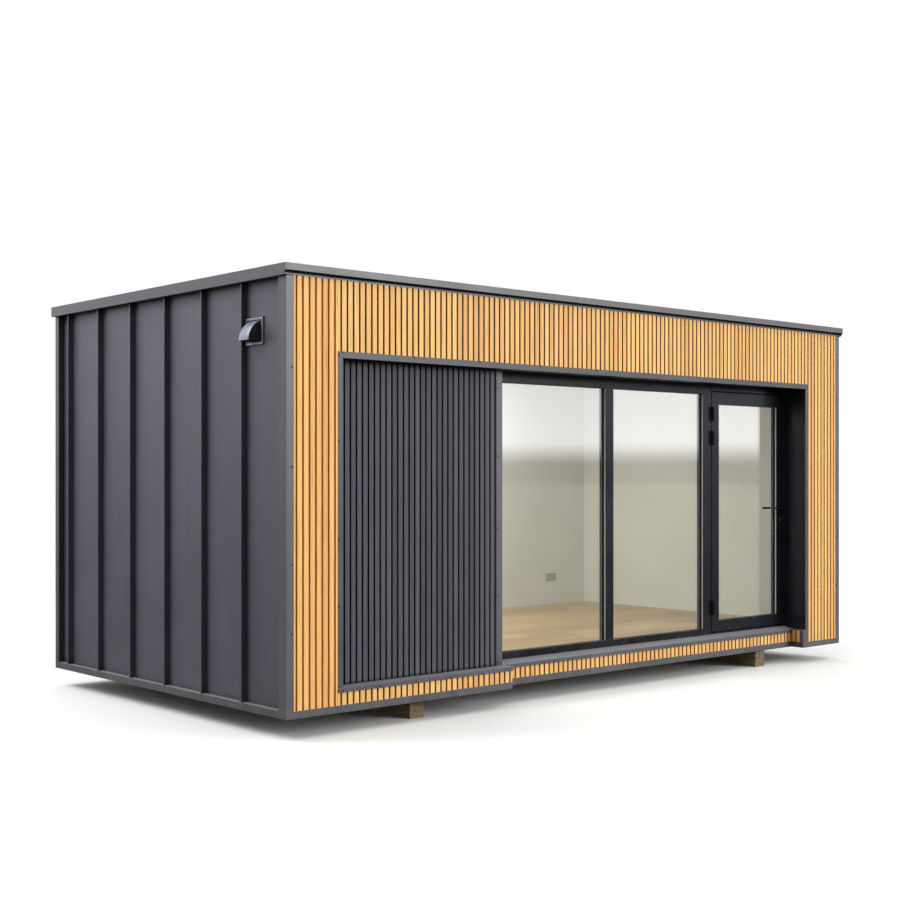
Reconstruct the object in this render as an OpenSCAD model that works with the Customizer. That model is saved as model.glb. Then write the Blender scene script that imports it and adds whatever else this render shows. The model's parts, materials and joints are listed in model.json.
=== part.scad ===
// Garden office pod: a flat-roofed box of insulated panels on two timber bearers. A portal of
// vertical timber slats frames a recess that holds a dark slatted panel, two fixed panes and
// one glazed swing door. The ends and the back are clad in standing-seam sheet.
// Places are measured from the front left bottom corner of the body: x to the right,
// y to the back, z up. from_corner() carries that corner into the part's frame, whose origin
// lies on the ground under the middle of the pod.

/* [Body] */
// Length over the corner trims
body_l = 6060; // [5600:10:7200]
// Depth over the corner trims
body_d = 3180; // [2400:10:4200]
// Height from the underside of the base trim to the top of the roof edge
body_h = 2850; // [2800:10:3200]

/* [Bearers] */
// Width of a bearer
bearer_w = 130; // [90:5:200]
// Height of a bearer
bearer_h = 140; // [80:5:200]
// From the left end of the body to the middle of the left bearer
bearer_left = 1190; // [400:5:1800]
// From the right end of the body to the middle of the right bearer
bearer_right = 980; // [400:5:1800]
// From the front and the back of the body to the end of a bearer
bearer_inset = 150; // [0:5:300]

/* [Panels] */
// Thickness of the wall panels
wall_t = 140; // [100:5:200]
// Thickness of the floor panel
floor_t = 140; // [120:5:200]
// Thickness of the deck on the floor panel
deck_t = 36; // [24:1:60]
// Thickness of the floor boards
board_t = 14; // [8:1:22]
// Thickness of the roof panel
roof_t = 128; // [80:2:160]
// Thickness of the lining and ceiling boards
lining_t = 12; // [9:1:20]

/* [Roof edge] */
// Thickness of the deck that the roof edge wraps
roof_deck_t = 42; // [30:1:50]
// Thickness of the roof membrane
membrane_t = 4; // [2:1:8]
// How far the roof edge stands out past the body
roof_lip = 24; // [15:1:60]
// Height of the roof edge at the ends and the back
roof_face_h = 75; // [65:1:110]
// Height of the roof edge at the front, over its shadow gap
front_face_h = 45; // [30:1:55]
// Height of the strip under the shadow gap
front_strip_h = 11; // [6:1:16]
// Depth of the shadow gap behind the faces of the slats
front_gap_d = 30; // [10:1:40]
// Width of the roof edge on top
roof_flange = 84; // [60:1:160]

/* [Metal cladding] */
// Thickness of folded sheet
sheet_t = 3; // [1.5:0.5:4]
// How far the pans lie behind the faces of the corner trims
pan_setback = 45; // [42:1:70]
// Spacing of the standing seams
seam_pitch = 491; // [300:1:600]
// From a corner to the first seam
seam_first = 527; // [300:1:700]
// Height of a seam over the pan
seam_rise = 40; // [15:1:42]
// Width of the folded lip of a seam
seam_lip = 14; // [8:1:30]
// Wide leg of a corner trim
corner_wide = 88; // [70:1:140]
// Narrow leg of a corner trim
corner_narrow = 56; // [40:1:80]
// Height of the base trim
base_trim_h = 48; // [30:1:70]

/* [Timber slats] */
// Spacing of the slats
slat_pitch = 50; // [42:0.5:80]
// Width of a slat
slat_w = 38; // [25:0.5:40]
// From a corner trim to the first whole slat
slat_first = 28; // [12:1:50]
// Depth of a slat in front of its backing
slat_t = 20; // [12:1:30]
// Chamfer along the front edges of a slat
slat_edge = 2; // [0.5:0.5:3]
// Thickness of the slat backing
slat_back_t = 25; // [15:1:40]

/* [Recess] */
// From the left corner to the left edge of the recess
opening_left = 443; // [350:1:700]
// From the right edge of the recess to the right corner
opening_right = 521; // [350:1:700]
// From the top of the roof edge down to the recess
opening_drop = 570; // [450:5:650]
// Face width of the trim round the recess
trim_w = 42; // [25:1:60]
// Width of the dark panel with its corner trim
panel_w = 1506; // [800:1:2000]
// Depth of the dark panel behind the portal
panel_depth = 100; // [80:1:110]
// Face width of the dark panel's corner trim
panel_trim_w = 57; // [40:1:90]
// Depth of the plinth under the glazing behind the portal
plinth_depth = 125; // [118:1:150]
// Depth of the glazing behind the portal
glazing_depth = 220; // [200:1:280]
// Height of the front lip of the sills
sill_lip = 28; // [15:1:40]
// How far the sills stand in front of the slats
sill_nose = 5; // [2:1:15]
// Room under the panel sill, over the floor panel
sill_rise = 15; // [8:1:25]

/* [Glazing] */
// Depth of the fixed frame
frame_depth = 78; // [76:1:90]
// Width of the left jamb
left_jamb_w = 115; // [50:1:150]
// Width of the mullion between the fixed panes
mullion_w = 92; // [50:1:140]
// Width of the post that carries the hinges
hinge_post_w = 110; // [70:1:160]
// Width of the jamb on the lock side
lock_jamb_w = 21; // [15:1:60]
// Height of the frame over a fixed pane
window_head_h = 53; // [35:1:90]
// Height of the frame under a fixed pane
window_rail_h = 51; // [35:1:90]
// Height of the set-back packer over the frame
packer_h = 25; // [10:1:40]
// How far the packer lies behind the frame's face
packer_setback = 15; // [5:1:40]
// Thickness of a sealed pane
glass_t = 24; // [16:1:26]
// Depth of the glass behind the frame's face
glass_setback = 24; // [10:1:33]
// How far a pane is let into its frame
glass_bite = 14; // [8:1:16]

/* [Door] */
// Width of the leaf
door_w = 1007; // [850:1:1150]
// Play between the leaf and the stop behind it
leaf_play = 8; // [6:1:14]
// Gap round the leaf
door_gap = 9; // [8:1:14]
// Width of the stiles
stile_w = 95; // [70:1:120]
// Height of the top rail
top_rail_h = 101; // [70:1:140]
// Height of the bottom rail
bottom_rail_h = 92; // [70:1:200]
// Height of the frame over the leaf
door_head_h = 24; // [15:1:50]
// Height of the threshold
threshold_h = 10; // [5:1:20]

/* [Hinges] */
// Height of a hinge
hinge_h = 118; // [80:1:150]
// Width of a hinge plate from the pin
hinge_plate_w = 34; // [25:1:45]
// Thickness of a hinge plate
hinge_plate_t = 6; // [4:1:8]
// Radius of a knuckle
knuckle_r = 10; // [8:0.5:12]
// Radius of the pin
pin_r = 4; // [3:0.5:5]
// Distance of the pin in front of the leaf
pin_out = 12; // [11:0.5:16]
// From the top of the leaf to the upper hinge
hinge_top_drop = 128; // [80:1:250]
// Space between the two upper hinges
hinge_space = 84; // [40:1:300]
// From the bottom of the leaf to the lower hinge
hinge_bottom_rise = 148; // [80:1:300]

/* [Lever and lock] */
// Height of the lever over the bottom of the leaf
lever_rise = 1033; // [900:1:1150]
// Length of the lever from its spindle
lever_l = 108; // [100:1:150]
// Radius of the lever's bar
lever_r = 9; // [6:0.5:11]
// Distance of the lever's bar from the leaf
lever_out = 40; // [35:1:65]
// Radius of the roses
rose_r = 22; // [20:0.5:25]
// Thickness of the roses
rose_t = 8; // [4:1:12]
// Drop of the lock cylinder below the lever
lock_drop = 98; // [70:1:120]
// Radius of the lock cylinder's round head
lock_r = 8.5; // [7:0.5:10]
// Height of the lock cylinder from the top of its head to the end of its tail
lock_h = 33; // [28:0.5:36]
// Width of the lock cylinder's tail
lock_tail_w = 10; // [8:0.5:12]
// How far the lock cylinder stands out of its rose
lock_out = 3; // [1:1:6]

/* [Vent hood and socket] */
// Width of the vent's plate
vent_w = 200; // [140:1:206]
// Height of the vent's plate
vent_h = 184; // [150:1:220]
// Thickness of the plate
vent_flange_t = 6; // [3:1:8]
// Thickness of the plate with the ring of bars on it
vent_rim_t = 11; // [9:1:16]
// Width of the ring's top and bottom bar
vent_rim_w = 15; // [8:1:20]
// Width of the ring's side bars
vent_stile_w = 8; // [5:1:14]
// From the edge of the plate to the ring
vent_edge = 4; // [2:1:8]
// From the front corner to the middle of the vent hood
vent_y = 410; // [200:1:413]
// From the top of the roof edge down to the middle of the vent hood
vent_drop = 395; // [250:5:1050]
// How far the hood stands out from its plate
hood_out = 87; // [60:1:110]
// Width of the hood
hood_w = 112; // [90:1:160]
// Height of the hood
hood_h = 128; // [100:1:140]
// Height of the hood's lower edge over that of the plate
hood_rise = 30; // [20:1:42]
// Radius of the hood's bowed front
hood_r = 140; // [125:5:500]
// Wall of the hood
hood_t = 4; // [2:0.5:6]
// Width of the socket plate
socket_w = 140; // [80:1:160]
// Height of the socket plate
socket_h = 80; // [60:1:90]
// Thickness of the socket plate
socket_t = 8; // [5:1:12]
// From the right end of the body to the middle of the socket plate
socket_x = 696; // [400:1:1500]
// Height of the socket plate's middle over the floor boards
socket_z = 276; // [150:1:500]

/* [Hidden] */
$fn = 48;

// Overrun of every cut
over = 1;
// Running gap between round pieces
run_gap = 0.3;
// Joint between neighbouring lining boards
board_joint = 2;
// Narrowest strip of a slat that is kept at a panel's edge
slat_least = 6;
// Clear strip kept between the last seam and a corner trim
seam_margin = 30;
// How far the plinth under the dark panel runs past that panel
plinth_over = 5;
// How far the plinth stands out from the right edge of the recess
plinth_step = 33;
// Leg of the plinth's corner trim in the recess
plinth_trim_leg = 34;
// How far the door stop laps the leaf and the frame
stop_lap = 20;
// Thickness of the door stop
stop_t = 10;
// Radius of the lever's spindle
spindle_r = 6;
// Clearance of the spindle in the leaf
spindle_gap = 3;
// Facets of a full circle of the hood's bow
bow_facets = 240;
// Knuckles of a hinge
knuckle_count = 3;
// Width of a socket's well as a share of the plate's width
well_share = 0.3;
// Distance of a well from the plate's middle as a share of the plate's width
well_place_share = 0.25;
// Depth of a well as a share of the plate's thickness
well_depth_share = 0.5;

metal = [0.23, 0.23, 0.25];
frame_grey = [0.13, 0.14, 0.16];
timber = [0.85, 0.62, 0.36];
panel_white = [0.88, 0.88, 0.86];
glass_tint = [0.65, 0.75, 0.78, 0.5];
black = [0.06, 0.06, 0.07];

// Levels
frame_z = floor_t + deck_t;
room_z = frame_z + board_t;
opening_top = body_h - opening_drop;
trim_top = opening_top + trim_w;
sill_z = floor_t + sill_rise + sheet_t;
beam_z = opening_top + sheet_t;
frame_top = beam_z - packer_h;
roof_deck_z = body_h - roof_face_h + sheet_t;
clad_top = body_h - roof_face_h;
roof_z = roof_deck_z - roof_t;
ceiling_z = roof_z - lining_t;
kerb_h = body_h - roof_deck_z - roof_deck_t;
glazing_sill_z = floor_t + sill_rise;

// Planes across the length
vent_face = pan_setback - vent_flange_t;
left_reach = max(roof_lip, hood_out - vent_face);
middle_x = (body_l + roof_lip - left_reach) / 2;
side_zone = pan_setback + sheet_t;
wall_in = side_zone + wall_t;
room_in = wall_in + lining_t;
opening_r = body_l - opening_right;
pier_l = opening_left - sheet_t;
pier_r = opening_r + sheet_t;
panel_end = opening_left + panel_w;
wall_end = panel_end - sheet_t;
slat_gap = slat_pitch - slat_w;
slat_grid = corner_narrow + slat_first;
plinth_end = panel_end + plinth_over;
plinth_r = opening_r - plinth_step;
trim_l = opening_left - trim_w;
trim_r = opening_r + trim_w;

// Planes across the depth
facade_t = slat_t + slat_back_t;
front_in = glazing_depth + frame_depth;
leaf_back = front_in - leaf_play;
back_out = body_d - side_zone;
back_in = back_out - wall_t;
plinth_back = plinth_depth + facade_t;
nose_y = plinth_depth - sill_nose;

// Door and glazing
leaf_r = pier_r - lock_jamb_w - door_gap;
leaf_l = leaf_r - door_w;
pin_x = leaf_l - door_gap / 2;
pin_y = glazing_depth - pin_out;
hinge_post_r = leaf_l - door_gap;
hinge_post_l = hinge_post_r - hinge_post_w;
pane_l = wall_end + left_jamb_w;
pane_w = (hinge_post_l - pane_l - mullion_w) / 2;
mullion_l = pane_l + pane_w;
mullion_r = mullion_l + mullion_w;
leaf_z = frame_z + threshold_h + door_gap;
leaf_top = frame_top - door_head_h - door_gap;
pane_y = glazing_depth + glass_setback;
bead_y = pane_y + glass_t;
lever_x = leaf_r - stile_w / 2;
lever_z = leaf_z + lever_rise;
lock_z = lever_z - lock_drop;
hinge_places = [
    leaf_top - hinge_top_drop - hinge_h,
    leaf_top - hinge_top_drop - hinge_h - hinge_space - hinge_h,
    leaf_z + hinge_bottom_rise
];
knuckle_h = hinge_h / knuckle_count;

// Vent: its lower front corner in y and z, and the face of its bars in x
vent_corner = [vent_y - vent_w / 2, body_h - vent_drop - vent_h / 2];
vent_bar_face = pan_setback - vent_rim_t;

// Daylight openings of the glazing: lower left and upper right corner of each, in x and z
window_lights = [
    for (x = [pane_l, mullion_r])
        [[x, frame_z + window_rail_h], [x + pane_w, frame_top - window_head_h]]
];
door_light = [
    [leaf_l + stile_w, leaf_z + bottom_rail_h],
    [leaf_r - stile_w, leaf_top - top_rail_h]
];

// Moves the front left bottom corner of the body into the part's frame
module from_corner() {
    translate([-middle_x, -body_d / 2, bearer_h]) children();
}

// Mirrors a piece of the left end to the right end
module to_right() {
    translate([body_l, 0, 0]) mirror([1, 0, 0]) children();
}

// A block between two opposite corners
module block(low, high) {
    translate(low) cube(high - low);
}

// The slats between two ends of a run, cut from one grid that starts at grid_from
function slat_runs(a, b, grid_from) = [
    for (k = [floor((a - grid_from) / slat_pitch) : ceil((b - grid_from) / slat_pitch)])
        let (
            l = max(a, grid_from + k * slat_pitch),
            r = min(b, grid_from + k * slat_pitch + slat_w)
        )
        if (r - l > slat_least) [l, r]
];

// Outline of a slat panel in plan: slats at depth 0, backing behind them
function slat_outline(a, b, grid_from, depth = facade_t) =
    let (runs = slat_runs(a, b, grid_from), last = len(runs) - 1)
    concat(
        [[a, depth]],
        runs[0][0] > a ? [[a, slat_t]] : [],
        [for (i = [0 : last]) each [
            if (runs[i][0] > a) [runs[i][0], slat_t],
            [runs[i][0], slat_edge],
            [runs[i][0] + slat_edge, 0],
            [runs[i][1] - slat_edge, 0],
            [runs[i][1], slat_edge],
            if (runs[i][1] < b) [runs[i][1], slat_t]
        ]],
        runs[last][1] < b ? [[b, slat_t]] : [],
        [[b, depth]]
    );

// Turns an outline so that its slats face the left, with its length along y
function facing_left(points) = [for (i = [len(points) - 1 : -1 : 0]) [points[i][1], points[i][0]]];

// Turns an outline so that its slats face the right, with its length along y
function facing_right(points) = [for (p = points) [-p[1], p[0]]];

// A run of front slats on the grid of the whole facade
module facade_slats(a, b, low, high) {
    translate([0, 0, low])
        linear_extrude(high - low) polygon(slat_outline(a, b, slat_grid));
}

// Where the next slat of the facade starts to the right of a place
function slat_start_after(x) = slat_grid + ceil((x - slat_grid) / slat_pitch) * slat_pitch;

// Where the last slat of the facade ends to the left of a place
function slat_end_before(x) =
    slat_grid + floor((x - slat_w - slat_grid) / slat_pitch) * slat_pitch + slat_w;

// Places of the standing seams along a wall of a given length
function seam_places(length, corner) = [
    for (s = [seam_first : seam_pitch : length - corner - seam_margin]) s
];

// Outline of a standing-seam sheet: pans at height 0, each seam a web with a folded lip
function seam_outline(a, b, places) = concat(
    [[a, -sheet_t], [a, 0]],
    [for (s = places) each [
        [s, 0],
        [s, seam_rise - sheet_t],
        [s + sheet_t - seam_lip, seam_rise - sheet_t],
        [s + sheet_t - seam_lip, seam_rise],
        [s + sheet_t, seam_rise],
        [s + sheet_t, 0]
    ]],
    [[b, 0], [b, -sheet_t]]
);

// A base trim: a channel open to the back, with the front at y = 0
module base_channel(length, depth) {
    difference() {
        cube([length, depth, base_trim_h]);
        translate([-over, sheet_t, sheet_t])
            cube([length + 2 * over, depth, base_trim_h - 2 * sheet_t]);
    }
}

// Plan of the stepped front base, set in from its faces and run on past its back and ends
module stepped_base(inset, beyond) {
    left = plinth_end - facade_t - beyond;
    right = pier_r + beyond;
    polygon([
        [corner_narrow - beyond, inset],
        [plinth_end - inset, inset],
        [plinth_end - inset, plinth_depth + inset],
        [plinth_r + inset, plinth_depth + inset],
        [plinth_r + inset, plinth_trim_leg - beyond],
        [right, plinth_trim_leg - beyond],
        [right, plinth_back + beyond],
        [left, plinth_back + beyond],
        [left, facade_t + beyond],
        [corner_narrow - beyond, facade_t + beyond]
    ]);
}

// Section of the roof edge at the ends and the back: u inwards from its face, z below its top
function edge_section() = [
    [0, 0], [roof_flange, 0], [roof_flange, -kerb_h], [roof_flange - sheet_t, -kerb_h],
    [roof_flange - sheet_t, -sheet_t], [sheet_t, -sheet_t],
    [sheet_t, sheet_t - roof_face_h], [roof_lip + side_zone, sheet_t - roof_face_h],
    [roof_lip + side_zone, -roof_face_h], [0, -roof_face_h]
];

// Section of the roof edge at the front: its face, the shadow gap folded in under it, and the strip
function front_section() =
    let (
        gap_back = roof_lip + front_gap_d,
        strip_foot = sheet_t - roof_face_h,
        strip_top = strip_foot + front_strip_h
    ) [
        [0, 0], [roof_flange, 0], [roof_flange, -kerb_h], [roof_flange - sheet_t, -kerb_h],
        [roof_flange - sheet_t, -sheet_t], [sheet_t, -sheet_t],
        [sheet_t, sheet_t - front_face_h], [gap_back + sheet_t, sheet_t - front_face_h],
        [gap_back + sheet_t, strip_top - sheet_t], [roof_lip + sheet_t, strip_top - sheet_t],
        [roof_lip + sheet_t, strip_foot], [roof_lip, strip_foot],
        [roof_lip, strip_top], [gap_back, strip_top],
        [gap_back, -front_face_h], [0, -front_face_h]
    ];

// Stands a section on the x axis: its u runs to the back, its z up, its length along x
module along_x(length) {
    rotate([90, 0, 90]) linear_extrude(length) children();
}

// A round bar along y from a given depth
module y_bar(radius, from, to) {
    translate([0, from, 0]) rotate([-90, 0, 0]) cylinder(r = radius, h = to - from);
}

module bearers() {
    color(timber) from_corner()
        for (x = [bearer_left, body_l - bearer_right])
            block([x - bearer_w / 2, bearer_inset, -bearer_h],
                  [x + bearer_w / 2, body_d - bearer_inset, 0]);
}

module floor_panel() {
    color(metal) from_corner() linear_extrude(floor_t) polygon([
        [side_zone, facade_t], [plinth_end - facade_t, facade_t],
        [plinth_end - facade_t, plinth_back], [pier_r, plinth_back],
        [pier_r, facade_t], [body_l - side_zone, facade_t],
        [body_l - side_zone, back_out], [side_zone, back_out]
    ]);
}

module floor_deck() {
    color(timber) from_corner() translate([0, 0, floor_t]) linear_extrude(deck_t) polygon([
        [wall_in, front_in], [wall_end, front_in], [wall_end, glazing_depth],
        [pier_r, glazing_depth], [pier_r, front_in], [body_l - wall_in, front_in],
        [body_l - wall_in, back_in], [wall_in, back_in]
    ]);
}

module floor_boards() {
    color(timber) from_corner()
        block([wall_in, front_in, frame_z], [body_l - wall_in, back_in, room_z]);
}

module end_wall() {
    block([side_zone, facade_t, floor_t], [wall_in, back_out, roof_z]);
}

module left_wall() {
    color(panel_white) from_corner() end_wall();
}

module right_wall() {
    color(panel_white) from_corner() to_right() end_wall();
}

module back_wall() {
    color(panel_white) from_corner()
        block([wall_in, back_in, floor_t], [body_l - wall_in, back_out, roof_z]);
}

module left_pier() {
    color(panel_white) from_corner()
        block([wall_in, facade_t, floor_t], [pier_l, front_in, roof_z]);
}

module right_pier() {
    color(panel_white) from_corner()
        block([pier_r, facade_t, floor_t], [body_l - wall_in, front_in, roof_z]);
}

module front_wall() {
    color(panel_white) from_corner()
        block([pier_l, panel_depth + facade_t, floor_t], [wall_end, front_in, opening_top]);
}

module front_beam() {
    color(panel_white) from_corner()
        block([pier_l, facade_t, beam_z], [pier_r, front_in, roof_z]);
}

module end_lining() {
    block([wall_in, front_in, room_z], [room_in, back_in, ceiling_z]);
}

module wall_linings() {
    color(panel_white) from_corner() {
        end_lining();
        to_right() end_lining();
        block([room_in + board_joint, back_in - lining_t, room_z],
              [body_l - room_in - board_joint, back_in, ceiling_z]);
        difference() {
            block([room_in + board_joint, front_in, room_z],
                  [body_l - room_in - board_joint, front_in + lining_t, ceiling_z]);
            block([wall_end, front_in - over, room_z - over],
                  [pier_r, front_in + lining_t + over, beam_z]);
        }
    }
}

module ceiling() {
    color(panel_white) from_corner()
        block([wall_in, front_in, ceiling_z], [body_l - wall_in, back_in, roof_z]);
}

module roof_panel() {
    color(panel_white) from_corner()
        block([side_zone, facade_t, roof_z], [body_l - side_zone, back_out, roof_deck_z]);
}

module roof_deck() {
    reach = roof_lip - sheet_t;
    color(timber) from_corner()
        block([-reach, front_gap_d + sheet_t, roof_deck_z],
              [body_l + reach, body_d + reach, roof_deck_z + roof_deck_t]);
}

module roof_membrane() {
    edge = roof_flange - roof_lip;
    z = roof_deck_z + roof_deck_t;
    color(black) from_corner()
        block([edge, edge, z], [body_l - edge, body_d - edge, z + membrane_t]);
}

// Roof edge of an end: its plate is cut back under the front edge, down to the slats' face
module end_roof_trim() {
    run = body_d + 2 * (roof_lip - roof_flange);
    translate([-roof_lip, 0, body_h]) along_x(sheet_t) polygon([
        [-roof_lip, 0], [-roof_lip, -front_face_h], [0, -roof_face_h],
        [body_d + roof_lip, -roof_face_h], [body_d + roof_lip, 0]
    ]);
    translate([-roof_lip, roof_flange - roof_lip, body_h])
        mirror([0, 1, 0]) rotate([90, 0, 0]) linear_extrude(run) polygon(edge_section());
}

module side_roof_trims() {
    color(metal) from_corner() {
        end_roof_trim();
        to_right() end_roof_trim();
    }
}

module front_roof_trim() {
    color(metal) from_corner() translate([sheet_t - roof_lip, -roof_lip, body_h])
        along_x(body_l + 2 * (roof_lip - sheet_t)) polygon(front_section());
}

module back_roof_trim() {
    color(metal) from_corner() translate([sheet_t - roof_lip, body_d + roof_lip, body_h])
        mirror([0, 1, 0]) along_x(body_l + 2 * (roof_lip - sheet_t)) polygon(edge_section());
}

module end_cladding() {
    places = seam_places(body_d, corner_narrow);
    translate([pan_setback, 0, base_trim_h])
        linear_extrude(clad_top - base_trim_h)
            polygon(facing_right(seam_outline(facade_t, body_d - pan_setback, places)));
}

module left_cladding() {
    color(metal) from_corner() end_cladding();
}

module right_cladding() {
    color(metal) from_corner() to_right() end_cladding();
}

module back_cladding() {
    places = seam_places(body_l, corner_wide);
    color(metal) from_corner() translate([0, body_d - pan_setback, base_trim_h])
        linear_extrude(clad_top - base_trim_h)
            polygon(seam_outline(side_zone, body_l - side_zone, places));
}

// Plan of a corner trim: wide leg along y with a return to the pan, narrow leg along x
module corner_plan(wide_return, narrow_return) {
    square([sheet_t, corner_wide]);
    square([corner_narrow, sheet_t]);
    translate([0, corner_wide - sheet_t]) square([wide_return, sheet_t]);
    translate([corner_narrow - sheet_t, 0]) square([sheet_t, narrow_return]);
}

module corner_trims() {
    color(metal) from_corner() linear_extrude(clad_top) {
        corner_plan(pan_setback, facade_t);
        translate([body_l, 0]) mirror([1, 0]) corner_plan(pan_setback, facade_t);
        translate([0, body_d]) rotate(-90) corner_plan(pan_setback, pan_setback);
        translate([body_l, body_d]) mirror([1, 0]) rotate(-90) corner_plan(pan_setback, pan_setback);
    }
}

module end_base_trim() {
    run = body_d - corner_wide - corner_narrow;
    translate([0, corner_wide + run, 0]) rotate(-90) base_channel(run, side_zone);
}

module side_base_trims() {
    run = body_l - 2 * corner_wide;
    color(metal) from_corner() {
        end_base_trim();
        to_right() end_base_trim();
        translate([corner_wide + run, body_d, 0]) rotate(180) base_channel(run, side_zone);
    }
}

module front_base_trims() {
    color(metal) from_corner() {
        difference() {
            linear_extrude(base_trim_h) stepped_base(0, 0);
            translate([0, 0, sheet_t])
                linear_extrude(base_trim_h - 2 * sheet_t) stepped_base(sheet_t, over);
        }
        translate([trim_r, 0, 0]) base_channel(body_l - corner_narrow - trim_r, facade_t);
    }
}

// Slats left of the recess: the last one is notched round the corner of the recess trim
module left_slat_column() {
    color(timber) from_corner() {
        facade_slats(corner_narrow, trim_l, base_trim_h, trim_top);
        facade_slats(corner_narrow, slat_start_after(trim_l), trim_top, roof_deck_z);
    }
}

module right_slat_column() {
    right = body_l - corner_narrow;
    color(timber) from_corner() {
        facade_slats(trim_r, right, base_trim_h, trim_top);
        facade_slats(slat_end_before(trim_r), right, trim_top, roof_deck_z);
    }
}

module top_slat_band() {
    color(timber) from_corner()
        facade_slats(slat_start_after(trim_l), slat_end_before(trim_r), trim_top, roof_deck_z);
}

module panel_plinth_slats() {
    tie_top = glazing_sill_z - sill_lip;
    color(timber) from_corner() {
        translate([0, 0, base_trim_h]) linear_extrude(sill_z - sheet_t - base_trim_h) {
            polygon(slat_outline(trim_l, plinth_end, slat_grid));
            translate([plinth_end, 0])
                polygon(facing_right(slat_outline(facade_t, nose_y, facade_t)));
        }
        block([plinth_end - facade_t, nose_y, base_trim_h],
              [plinth_end, panel_depth + facade_t, tie_top]);
        block([plinth_end - facade_t, slat_t, base_trim_h],
              [plinth_end - slat_t, panel_depth + facade_t, tie_top]);
    }
}

module glazing_plinth_slats() {
    leg = plinth_trim_leg;
    tie_top = glazing_sill_z - sill_lip;
    color(timber) from_corner() {
        translate([0, 0, base_trim_h]) linear_extrude(glazing_sill_z - sheet_t - base_trim_h) {
            translate([0, plinth_depth])
                polygon(slat_outline(plinth_end, plinth_r, plinth_end + slat_gap / 2));
            translate([plinth_r, 0])
                polygon(facing_left(slat_outline(leg, nose_y, leg, pier_r - plinth_r)));
        }
        block([plinth_r, nose_y, base_trim_h], [pier_r, plinth_back, tie_top]);
        block([plinth_r - facade_t, plinth_depth + slat_t, base_trim_h], [pier_r, plinth_back, tie_top]);
        block([plinth_r + slat_t, leg, base_trim_h], [pier_r, plinth_back, tie_top]);
    }
}

module left_opening_trim() {
    color(metal) from_corner() {
        block([trim_l, 0, sill_z], [opening_left, sheet_t, opening_top]);
        block([pier_l, 0, sill_z], [opening_left, panel_depth + facade_t, opening_top]);
    }
}

module top_opening_trim() {
    color(metal) from_corner() {
        block([trim_l, 0, opening_top], [trim_r, sheet_t, trim_top]);
        block([pier_l, 0, opening_top], [pier_r, glazing_depth, beam_z]);
    }
}

module right_opening_trim() {
    foot_z = glazing_sill_z - sheet_t;
    color(metal) from_corner() {
        block([opening_r, 0, foot_z], [trim_r, sheet_t, opening_top]);
        block([opening_r, 0, foot_z], [pier_r, glazing_depth, opening_top]);
        block([plinth_r - sheet_t, 0, foot_z], [pier_r, nose_y, glazing_sill_z]);
    }
}

module plinth_corner_trim() {
    top = glazing_sill_z - sheet_t;
    color(metal) from_corner() {
        block([plinth_r - sheet_t, 0, 0], [trim_r, sheet_t, top]);
        block([plinth_r - sheet_t, 0, 0], [plinth_r, plinth_trim_leg, top]);
    }
}

module dark_slat_panel() {
    color(frame_grey) from_corner() translate([0, panel_depth, 0])
        facade_slats(opening_left, panel_end - panel_trim_w, sill_z, opening_top);
}

module panel_corner_trim() {
    color(metal) from_corner() {
        block([panel_end - panel_trim_w, panel_depth, sill_z],
              [panel_end, panel_depth + sheet_t, opening_top]);
        block([wall_end, panel_depth, sill_z], [panel_end, glazing_depth, opening_top]);
    }
}

module panel_sill() {
    front = -sill_nose;
    right = plinth_end + sill_nose;
    under = sill_z - sheet_t;
    color(metal) from_corner() {
        block([trim_l, front, sill_z - sill_lip], [right, front + sheet_t, sill_z]);
        block([trim_l, front, under], [right, facade_t, sill_z]);
        block([pier_l, front, under], [right, nose_y, sill_z]);
        block([pier_l, front, under], [wall_end, panel_depth + facade_t, sill_z]);
    }
}

// Folded sill: a front lip and a top that rises to the frame
module glazing_sill() {
    low = glazing_sill_z;
    color(metal) from_corner() translate([panel_end, 0, 0]) along_x(opening_r - panel_end)
        polygon([
            [nose_y, low - sill_lip], [nose_y, low], [glazing_depth, frame_z],
            [glazing_depth, frame_z - sheet_t], [nose_y + sheet_t, low - sheet_t],
            [nose_y + sheet_t, low - sill_lip]
        ]);
}

// A block over a daylight opening between two depths, grown on all four sides
module light_block(light, grow, from, to) {
    block([light[0][0] - grow, from, light[0][1] - grow], [light[1][0] + grow, to, light[1][1] + grow]);
}

// The rebate for a pane and its bead, open to the room
module rebate(light, back) {
    light_block(light, glass_bite, pane_y, back + over);
}

// Ring that holds a pane in its rebate
module bead(light, back) {
    difference() {
        light_block(light, glass_bite, bead_y, back);
        light_block(light, 0, bead_y - over, back + over);
    }
}

module frame_post(left, right) {
    block([left, glazing_depth, frame_z], [right, front_in, frame_top]);
}

module frame_posts() {
    color(frame_grey) from_corner() difference() {
        union() {
            frame_post(wall_end, pane_l);
            frame_post(mullion_l, mullion_r);
            frame_post(hinge_post_l, hinge_post_r);
            frame_post(pier_r - lock_jamb_w, pier_r);
        }
        for (light = window_lights) rebate(light, front_in);
    }
}

module frame_heads() {
    color(frame_grey) from_corner() difference() {
        union() {
            for (x = [pane_l, mullion_r])
                block([x, glazing_depth, frame_top - window_head_h], [x + pane_w, front_in, frame_top]);
            block([hinge_post_r, glazing_depth, frame_top - door_head_h],
                  [pier_r - lock_jamb_w, front_in, frame_top]);
        }
        for (light = window_lights) rebate(light, front_in);
    }
}

module frame_bottom_rails() {
    color(frame_grey) from_corner() difference() {
        union() {
            for (x = [pane_l, mullion_r])
                block([x, glazing_depth, frame_z], [x + pane_w, front_in, frame_z + window_rail_h]);
            block([hinge_post_r, glazing_depth, frame_z],
                  [pier_r - lock_jamb_w, front_in, frame_z + threshold_h]);
        }
        for (light = window_lights) rebate(light, front_in);
    }
}

module frame_packer() {
    color(black) from_corner()
        block([wall_end, glazing_depth + packer_setback, frame_top], [pier_r, front_in, beam_z]);
}

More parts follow.
